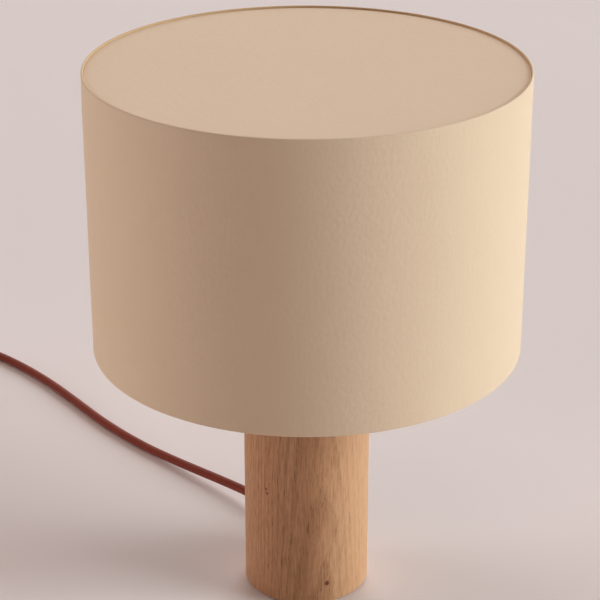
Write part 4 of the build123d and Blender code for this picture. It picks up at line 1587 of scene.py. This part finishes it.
@dataclass
class TopPanel:
    """Loose panel that closes the shade's top: board below, cotton above; sizes in millimetres."""

    radius: float = 148.2
    bottom: float = 388.75
    board_top: float = 390.15
    cloth_top: float = 390.65
    edge_ease: float = 0.22
    rings: int = 40
    swell: float = 0.3
    swell_size: float = 75.0
    swell_fade: float = 14.0

    def build(self) -> None:
        """Build and dress the board and its cloth."""
        outline = rounded(*band(0, self.radius, self.bottom, self.board_top, self.edge_ease))
        board = turned("panel_stiff_board", outline, FINE_SEGMENTS)
        settle(board, Body.PANEL, Slot.BOARD, "panel_board")
        spokes = [self.radius * i / self.rings for i in range(self.rings - 1, -1, -1)]
        outline = rounded(
            (0, self.board_top),
            (self.radius, self.board_top),
            (self.radius, self.cloth_top, self.edge_ease),
            *((r, self.cloth_top) for r in spokes),
        )
        cloth = shifted(turned("panel_cotton_top", outline, FINE_SEGMENTS), self.swollen)
        settle(cloth, Body.PANEL, Slot.COTTON, "panel_cloth", finish=PANEL_COTTON_PAINTED_LIGHT)

    def swollen(self, point: Vector) -> Vector:
        """Lift a point of the cloth's top by its slight unevenness, none at the edge.

        Args:
            point: A point of the cloth.

        Returns:
            Its new place.
        """
        if point.z < (self.cloth_top - self.edge_ease) * MM:
            return point
        inward = self.radius - Vector((point.x, point.y)).length / MM
        fade = clamped(inward / self.swell_fade)
        uneven = 0.5 + 0.5 * noise.noise(point / (self.swell_size * MM))
        return point + Vector((0, 0, uneven * fade * self.swell * MM))


@dataclass
class LampHolder:
    """Moulded holder on the column: dome, threaded skirt and shade ring; sizes in millimetres."""

    base: float = 207.0
    dome_top: float = 226.0
    neck_r: float = 9.0
    neck_h: float = 2.0
    dome_rim_h: float = 7.0
    bore_r: float = 5.1
    skirt_r: float = 19.7
    skirt_in_r: float = 17.1
    skirt_top: float = 266.0
    lip_r: float = 14.5
    lip_t: float = 2.0
    flange_z: float = 235.0
    flange_t: float = 3.0
    flange_r: float = 25.7
    thread_depth: float = 0.5
    thread_pitch: float = 2.5
    ring_z: float = 240.3
    ring_h: float = 8.0
    ring_in_r: float = 19.8
    ring_r: float = 24.8
    brim_t: float = 2.2
    brim_r: float = 27.8
    rib_count: int = 36
    rib_w: float = 1.6
    rib_out: float = 0.7
    joint_ease: float = 0.3
    bore_ease: float = 0.4
    edge_ease: float = 0.5
    lip_ease: float = 0.6
    flange_ease: float = 0.8
    neck_ease: float = 1.0
    shoulder_ease: float = 3.0

    def build(self) -> None:
        """Build and dress the dome, the skirt and the ring."""
        self.dome()
        self.skirt()
        self.shade_ring()

    def dome(self) -> None:
        """Cup that closes the holder below."""
        cone_z, rim_z = self.base + self.neck_h, self.dome_top - self.dome_rim_h
        floor_z = cone_z + self.skirt_r - self.skirt_in_r
        outline = rounded(
            (self.bore_r, self.base),
            (self.neck_r, self.base, self.edge_ease),
            (self.neck_r, cone_z, self.neck_ease),
            (self.skirt_r, rim_z, self.shoulder_ease),
            (self.skirt_r, self.dome_top, self.joint_ease),
            (self.skirt_in_r, self.dome_top),
            (self.skirt_in_r, rim_z),
            (self.neck_r, floor_z),
            (self.bore_r, floor_z),
        )
        settle(turned("holder_dome_moulded", outline), Body.BASE, Slot.WHITE_PLASTIC, "holder_dome")

    def skirt(self) -> None:
        """Skirt with its flange and the thread that the ring runs on."""
        root, pitch = self.skirt_r - self.thread_depth, self.thread_pitch
        flange_top, lip_z = self.flange_z + self.flange_t, self.skirt_top - self.lip_t
        outline = rounded(
            (self.skirt_in_r, self.dome_top),
            (self.skirt_r, self.dome_top, self.joint_ease),
            (self.skirt_r, self.flange_z, self.edge_ease),
            (self.flange_r, self.flange_z, self.flange_ease),
            (self.flange_r, flange_top, self.lip_ease),
            (root, flange_top),
            (root, self.skirt_top, self.lip_ease),
            (self.lip_r, self.skirt_top, self.lip_ease),
            (self.lip_r, lip_z),
            (self.skirt_in_r, lip_z),
        )
        skirt = turned("holder_skirt_moulded", outline)
        low, high = flange_top + pitch, self.skirt_top - pitch
        THREAD.wind(skirt, Slot.WHITE_PLASTIC, root, low, high, pitch, self.thread_depth)
        settle(skirt, Body.BASE, Slot.WHITE_PLASTIC, "holder_skirt")

    def shade_ring(self) -> None:
        """Ring that clamps the carrier, with grip ribs round it."""
        brim_top, top = self.ring_z + self.brim_t, self.ring_z + self.ring_h
        body_r = self.ring_r - self.rib_out
        outline = rounded(
            (self.ring_in_r, self.ring_z),
            (self.brim_r, self.ring_z, self.edge_ease),
            (self.brim_r, brim_top, self.edge_ease),
            (body_r, brim_top),
            (body_r, top, self.edge_ease),
            (self.ring_in_r, top, self.bore_ease),
        )
        settle(turned("shade_ring_moulded", outline), Body.BASE, Slot.WHITE_PLASTIC, "shade_ring")
        half = self.rib_w / 2
        plan = [(body_r - self.rib_out, -half), (self.ring_r - half / 2, -half), (self.ring_r, -half / 2)]
        plan += [(x, -y) for x, y in reversed(plan)]
        rows = [[(x * MM, y * MM, z * MM) for x, y in plan] for z in (brim_top, top - self.rib_out)]
        ribs = REPEAT.around(lofted("shade_ring_ribs", rows), Slot.WHITE_PLASTIC, self.rib_count)
        settle(ribs, Body.BASE, Slot.WHITE_PLASTIC)


@dataclass
class ScrewBulb:
    """Opal screw bulb with a threaded cap; sizes in millimetres."""

    tip_z: float = 238.2
    tip_r: float = 4.5
    tip_h: float = 2.0
    tip_ease: float = 1.2
    insulator_r: float = 6.0
    insulator_h: float = 3.3
    insulator_plug_h: float = 3.5
    insulator_ease: float = 0.5
    insulator_gap: float = 0.1
    cap_z: float = 243.5
    cap_h: float = 19.5
    cap_r: float = 13.0
    cap_t: float = 0.6
    cap_ease: float = 0.25
    collar_h: float = 3.0
    collar_slope: float = 1.0
    thread_end: float = 5.0
    thread_pitch: float = 3.629
    thread_ridge: float = 0.8
    globe_r: float = 30.0
    globe_t: float = 1.0
    neck_r: float = 12.3
    flare: float = 40.0
    length: float = 108.0
    in_cap: float = 5.0
    hollow_steps: int = 14
    crown_steps: int = 40

    def build(self) -> None:
        """Build and dress the glass, the cap, the insulator and the contact."""
        self.globe()
        self.cap()
        self.foot()

    def globe(self) -> None:
        """Pear-shaped glass: outside up, inside down."""
        centre_z = self.tip_z + self.length - self.globe_r
        foot_z = self.cap_z + self.cap_h - self.in_cap
        flare = math.radians(self.flare)
        sides: list[Outline] = []
        for shrink in (0.0, self.globe_t):
            globe_r, neck_r = self.globe_r - shrink, self.neck_r - shrink
            meet_z = centre_z - globe_r * math.sin(flare)
            neck_z = meet_z - (globe_r * math.cos(flare) - neck_r) / math.tan(flare / 2)
            bend = (meet_z - neck_z) / math.sin(flare)
            hollow = arc((neck_r + bend, neck_z), bend, 180, 180 - self.flare, self.hollow_steps)
            crown = arc((0, centre_z), globe_r, -self.flare, 90, self.crown_steps)
            sides.append([(neck_r, foot_z), *hollow, *crown[1:]])
        outside, inside = sides
        globe = turned("opal_globe", rounded(*outside, *reversed(inside)))
        settle(globe, Body.BULB, Slot.OPAL, "bulb_globe")

    def cap(self) -> None:
        """Metal cap with its round thread."""
        root, ridge, wall = self.cap_r - self.thread_ridge, self.thread_ridge, self.cap_t
        high = self.cap_z + self.cap_h
        collar_z = high - self.collar_h
        slope_z = collar_z - self.collar_slope
        outline = rounded(
            (root - wall, self.cap_z),
            (root, self.cap_z, self.cap_ease),
            (root, slope_z),
            (self.cap_r, collar_z),
            (self.cap_r, high),
            (self.cap_r - wall, high),
            (self.cap_r - wall, collar_z),
            (root - wall, slope_z),
        )
        cap = turned("bulb_cap_threaded", outline)
        low, end = self.cap_z + ridge, high - self.thread_end
        THREAD.wind(cap, Slot.NICKEL, root, low, end, self.thread_pitch, ridge)
        settle(cap, Body.BULB, Slot.NICKEL, "bulb_cap")

    def foot(self) -> None:
        """Insulator and the contact at the bulb's tip."""
        wide = self.cap_r - self.thread_ridge - self.cap_t - self.insulator_gap
        low, high = self.cap_z - self.insulator_h, self.cap_z + self.insulator_plug_h
        outline = rounded(
            (0, low),
            (self.insulator_r, low, self.insulator_ease),
            (wide, self.cap_z, self.insulator_ease),
            (wide, high),
            (0, high),
        )
        insulator = turned("bulb_insulator_moulded", outline, SMALL_SEGMENTS)
        settle(insulator, Body.BULB, Slot.BLACK_PLASTIC, "bulb_insulator")
        low, high, wide = self.tip_z, self.tip_z + self.tip_h, self.tip_r
        outline = rounded((0, low), (wide, low, self.tip_ease), (wide, high), (0, high))
        tip = turned("bulb_tip_soldered", outline, SMALL_SEGMENTS)
        settle(tip, Body.CONTACT, Slot.NICKEL, "bulb_tip")


@dataclass
class TextileCord:
    """Braided cord from the bush through the switch and the tied coil to the plug; in millimetres."""

    radius: float = 3.5
    exit_y: float = 45.4
    exit_z: float = 12.0
    held_y: float = 11.0
    lies_z: float = 3.6
    switch_y: float = 468.0
    switch_z: float = 7.5
    coil_x: float = -309.0
    coil_start_x: float = -302.0
    coil_y: float = 420.4
    coil_z: float = 4.6
    coil_layer: float = 7.5
    coil_r: float = 47.6
    coil_pitch: float = 7.6
    coil_turns: float = 4.5
    climb_turns: float = 0.5
    points_a_turn: int = 24
    plug_y: float = 372.8
    plug_z: float = 7.0
    length: float = 1765.0
    sides: int = 24
    spline_order: int = 3
    spline_steps: int = 12

    def route(self) -> list[Triple]:
        """Control points of the cord's one spline, from the bush to the plug.

        Returns:
            Points in millimetres.
        """
        lead = [
            (0.0, self.exit_y, self.exit_z),
            (0.0, 74.0, self.exit_z),
            (-4.5, 104.0, 10.4),
            (-20.5, 139.4, 8.1),
            (-42.0, 183.8, 4.8),
            (-63.5, 226.5, self.lies_z),
            (-83.0, 276.4, self.lies_z),
            (-96.5, 325.5, self.lies_z),
            (-110.5, 373.1, self.lies_z),
            (-128.0, 416.7, self.lies_z),
            (-146.0, 450.0, self.lies_z),
            (-167.0, 463.5, 4.2),
            (-191.0, self.switch_y, self.switch_z),
            (-213.0, self.switch_y, self.switch_z),
        ]
        tail = [
            (-259.0, self.switch_y, self.switch_z),
            (-274.0, self.switch_y, self.switch_z),
            (-289.0, self.switch_y, self.coil_z),
            (self.coil_start_x, self.switch_y, self.coil_z),
        ]
        top_z = self.coil_z + self.coil_layer
        end = [
            (self.coil_start_x, self.plug_y, top_z),
            (-286.0, self.plug_y, top_z),
            (-268.0, self.plug_y, self.plug_z),
            (-249.0, self.plug_y, self.plug_z),
        ]
        return lead + tail + self.coil() + end

    def coil(self) -> list[Triple]:
        """Turns that spiral in below, climb as the spiral reverses, and spiral out above.

        Returns:
            Points in millimetres.
        """
        points = []
        for i in range(round(self.coil_turns * self.points_a_turn) + 1):
            turns = i / self.points_a_turn
            radius = self.coil_r - self.coil_pitch * min(turns, self.coil_turns - turns)
            level = clamped((turns - self.coil_turns / 2) / self.climb_turns + 0.5)
            angle = QUARTER_TURN + FULL_TURN * turns
            x = self.coil_x + radius * math.cos(angle)
            y = self.coil_y + radius * math.sin(angle)
            points.append((x, y, self.coil_z + level * self.coil_layer))
        return points

    def line(self, name: str, route: Sequence[Triple]) -> list[Vector]:
        """Smooth line through a route, read from its spline.

        Args:
            name: Name of the spline's curve.
            route: Control points in millimetres.

        Returns:
            Points along the spline in metres.
        """
        curve = bpy.data.curves.new(name, "CURVE")
        curve.dimensions = "3D"
        curve.resolution_u = self.spline_steps
        spline = curve.splines.new("NURBS")
        spline.points.add(len(route) - 1)
        for point, place in zip(spline.points, route):
            point.co = (*(Vector(place) * MM), 1.0)
        spline.order_u = self.spline_order
        spline.use_endpoint_u = True
        holder = linked(name, curve)
        mesh = evaluated(holder)
        points = [vertex.co.copy() for vertex in mesh.vertices]
        bpy.data.objects.remove(holder)
        bpy.data.meshes.remove(mesh)
        return points

    def braided(self, name: str, points: Sequence[Vector]) -> Piece:
        """Braided tube along a line of points.

        Args:
            name: Name of the piece.
            points: Points of the line in metres.

        Returns:
            The tube.
        """
        mesh = bpy.data.meshes.new(name)
        mesh.from_pydata(points, [(i, i + 1) for i in range(len(points) - 1)], [])
        return TUBE.apply(linked(name, mesh), Slot.CORD, Radius=self.radius * MM, Sides=self.sides)

    def build(self, with_pieces: Sequence[Piece]) -> None:
        """Build and dress the cord and the end that the base holds.

        Args:
            with_pieces: Switch, plug and tie, which lie on the cord; not used.
        """
        leaves = Vector((0.0, self.exit_y, self.exit_z)) * MM
        held = [Vector((0.0, self.held_y, self.exit_z)) * MM, leaves]
        settle(self.braided("cord_held_braid", held), Body.BASE, Slot.CORD, "cord_held_end")
        points = self.line("cord_route", self.route())
        cord = self.braided("cord_braid", points)
        settle(cord, Body.BASE, Slot.CORD, "cord_lead", "cord_tail", "cord_coil", "cord_end")


@dataclass
class CordTie:
    """Woven strap round one side of the coil, its tail lapped over its start; sizes in millimetres."""

    left: float = -279.5
    right: float = -262.9
    bottom: float = 0.4
    top: float = 16.3
    corner: float = 2.6
    near: float = 414.4
    far: float = 426.4
    thickness: float = 0.8
    start_x: float = -266.5
    end_x: float = -277.0

    def build(self) -> Piece:
        """Wrap the strap along its line and dress it.

        Returns:
            The strap.
        """
        lapped = self.top + self.thickness
        line = rounded(
            (self.start_x, self.top),
            (self.left, self.top, self.corner),
            (self.left, self.bottom, self.corner),
            (self.right, self.bottom, self.corner),
            (self.right, lapped, self.corner),
            (self.end_x, lapped),
        )
        spots = [Vector(spot) for spot in line]
        section: list[tuple[Vector, float]] = []
        run = 0.0
        for back, spot, on in zip(spots[:1] + spots, spots, spots[1:] + spots[-1:]):
            ahead = on - back
            side = Vector((ahead.y, -ahead.x)).normalized() * (self.thickness / 2 * MM)
            run += (spot - back).length
            section.insert(0, (spot + side, run))
            section.append((spot - side, run))
        depths = (self.near * MM, self.far * MM)
        rows = [[(spot.x, depth, spot.y) for spot, _ in section] for depth in depths]
        places = [(along, depth) for depth in depths for _, along in section]
        return settle(lofted("cord_tie_strap", rows, places), Body.BASE, Slot.TIE, "cord_tie")


@dataclass
class PlugBody:
    """Flat moulded body of the two-pin plug, with grip grooves above and below; sizes in millimetres."""

    rear: float = -230.0
    middle: float = 372.8
    length: float = 36.0
    width: float = 35.3
    rear_w: float = 16.0
    bottom: float = 0.15
    top: float = 13.85
    ease: float = 2.4
    taper_start: float = 9.0
    taper_end: float = 27.0
    shoulder: float = 14.0
    front_corner: float = 3.0
    rear_corner: float = 2.6
    groove_r: float = 0.8
    groove_out: float = 0.25
    groove_l: float = 12.0
    groove_start: float = 9.0
    groove_pitch: float = 3.0
    groove_count: int = 5
    pin_count: int = 2
    pin_z: float = 7.0
    pin_pitch: float = 18.6
    sleeve_in_r: float = 1.9
    sleeve_r: float = 2.1
    sleeve_l: float = 10.0
    sleeve_in: float = 1.0

    def build(self) -> Piece:
        """Mould the body, cut its grooves and dress it.

        Returns:
            The body.
        """
        half, rear = self.width / 2, self.rear_w / 2
        side = [(0.0, rear, self.rear_corner), (self.taper_start, rear, self.shoulder)]
        side += [(self.taper_end, half, self.shoulder), (self.length, half, self.front_corner)]
        corners = [(self.rear + x, self.middle - y, ease) for x, y, ease in side]
        corners += [(self.rear + x, self.middle + y, ease) for x, y, ease in reversed(side)]
        body = moulded("plug_body_moulded", rounded(*corners), self.bottom, self.top, self.ease)
        for height in (self.bottom - self.groove_out, self.top + self.groove_out):
            bored(body, self.grooves(height))
        return settle(body, Body.BASE, Slot.BLACK_PLASTIC, "plug_body")

    def grooves(self, height: float) -> Piece:
        """Row of rods that cut the grooves of one face.

        Args:
            height: Height of the rods' axes in millimetres.

        Returns:
            The rods.
        """
        half = self.groove_l / 2
        outline = rounded(*band(0, self.groove_r, -half, half))
        start = Vector((self.rear + self.groove_start, self.middle, height)) * MM
        place = Matrix.Translation(start) @ Matrix.Rotation(-QUARTER_TURN, 4, "X")
        rods = turned("plug_groove_rods", outline, ROD_SEGMENTS, place)
        step = (self.groove_pitch * MM, 0.0, 0.0)
        return REPEAT.along(rods, Slot.BLACK_PLASTIC, self.groove_count, step)

    def sleeves(self) -> Piece:
        """Insulating sleeves round the rear half of both pins.

        Returns:
            The sleeves.
        """
        outline = rounded(*band(self.sleeve_in_r, self.sleeve_r, -self.sleeve_in, self.sleeve_l))
        start = Vector((self.rear + self.length, self.middle - self.pin_pitch / 2, self.pin_z)) * MM
        place = Matrix.Translation(start) @ Matrix.Rotation(QUARTER_TURN, 4, "Y")
        sleeves = turned("plug_pin_sleeves", outline, ROD_SEGMENTS, place)
        REPEAT.along(sleeves, Slot.BLACK_PLASTIC, self.pin_count, (0.0, self.pin_pitch * MM, 0.0))
        return settle(sleeves, Body.BASE, Slot.BLACK_PLASTIC)


@dataclass
class CordPieces:
    """In-line switch, plug and tie, which lie on the cord."""

    nodes: tuple[str, ...] = (
        "switch_lower_shell",
        "switch_upper_shell",
        "switch_rocker",
        "switch_pivot",
        "switch_screws",
        "switch_terminals",
        "switch_strip",
        "plug_pins",
        "plug_relief",
    )

    def build(self) -> list[Piece]:
        """Build those that have a mesh of their own.

        Returns:
            All of the pieces, frame nodes among them.
        """
        plug = PlugBody()
        made = [plug.build(), plug.sleeves(), CordTie().build()]
        return [frame["nodes"][name] for name in self.nodes] + made


@dataclass
class Lamp:
    """Broad soft light of the studio, so far off that it falls evenly; angles in degrees."""

    name: str
    azimuth: float
    elevation: float
    breadth: float
    strength: float
    colour: Triple

    def build(self) -> None:
        """Place the light, aimed at the object."""
        around, up = math.radians(self.azimuth), math.radians(self.elevation)
        flat = math.cos(up)
        back = Vector((math.sin(around) * flat, -math.cos(around) * flat, math.sin(up)))
        light = bpy.data.lights.new(self.name, "SUN")
        light.angle = math.radians(self.breadth)
        light.energy = self.strength
        light.color = self.colour
        holder = linked(self.name, light)
        holder.location = back
        holder.rotation_euler = back.to_track_quat("Z", "Y").to_euler()


@dataclass
class Studio:
    """Floor, lights and the camera at the photograph's viewing angle; lengths in metres."""

    floor_size: float = 60.0
    eye: Triple = (-0.42529, -1.18099, 0.77537)
    azimuth: float = -19.587
    pitch: float = 23.806
    lens: float = 117.645
    sensor: float = 36.0
    backdrop: Colour = screen(217, 203, 200)
    sky_strength: float = 0.02
    lamps: tuple[Lamp, ...] = (
        Lamp("key_high", 55.0, 28.0, 25.0, 1.15, (0.945, 1.0, 1.0)),
        Lamp("key_low", 70.0, 10.0, 25.0, 1.66, (0.9, 0.985, 1.0)),
        Lamp("fill_near", -60.0, 32.0, 33.0, 0.14, (1.0, 0.44, 0.18)),
        Lamp("fill_far", -120.0, 17.0, 33.0, 1.06, (1.0, 0.97, 0.95)),
        Lamp("back", 155.0, 22.0, 46.0, 1.5, (1.0, 0.985, 0.985)),
        Lamp("top", 0.0, 88.0, 40.0, 0.33, (1.0, 0.7, 0.62)),
    )

    def build(self) -> None:
        """Build the floor, the lights, the sky and the camera."""
        half = self.floor_size / 2
        corners = [(-half, -half, 0), (half, -half, 0), (half, half, 0), (-half, half, 0)]
        floor = made_of("floor", corners, [(0, 1, 2, 3)])
        floor.data.materials.append(FloorFinish().material())
        for lamp in self.lamps:
            lamp.build()
        self.sky()
        self.camera()
        bpy.context.scene.view_settings.view_transform = "Standard"

    def sky(self) -> None:
        """Dim sky for the light, and a pale backdrop where a camera, gloss or glass looks at it."""
        world = bpy.data.worlds.new("studio")
        world.use_nodes = True
        wiring = Wiring(world.node_tree)
        rays = wiring.add("ShaderNodeLightPath").outputs
        looked_at = rays["Is Camera Ray"]
        for kind in ("Is Glossy Ray", "Is Transmission Ray"):
            looked_at = wiring.maths("MAXIMUM", looked_at, rays[kind])
        strength = wiring.spread(looked_at, 0.0, 1.0, (self.sky_strength, 1.0))
        inputs = {"Color": self.backdrop, "Strength": strength}
        wiring.fill(world.node_tree.nodes["Background"], inputs)
        bpy.context.scene.world = world

    def camera(self) -> None:
        """Place the camera."""
        data = bpy.data.cameras.new("camera")
        data.lens = self.lens
        data.sensor_width = self.sensor
        camera = linked("camera", data)
        camera.location = self.eye
        camera.rotation_euler = (math.radians(90 - self.pitch), 0.0, math.radians(self.azimuth))
        bpy.context.scene.camera = camera


def main() -> None:
    """Build the lamp and its studio in order."""
    logging.basicConfig(level=logging.INFO, format="%(name)s: %(message)s")
    Studio().build()
    dress_frame()
    TextileCord().build(CordPieces().build())
    for part in (OakColumn(), DrumShade(), TopPanel(), LampHolder(), ScrewBulb()):
        part.build()


if __name__ == "__main__":
    main()
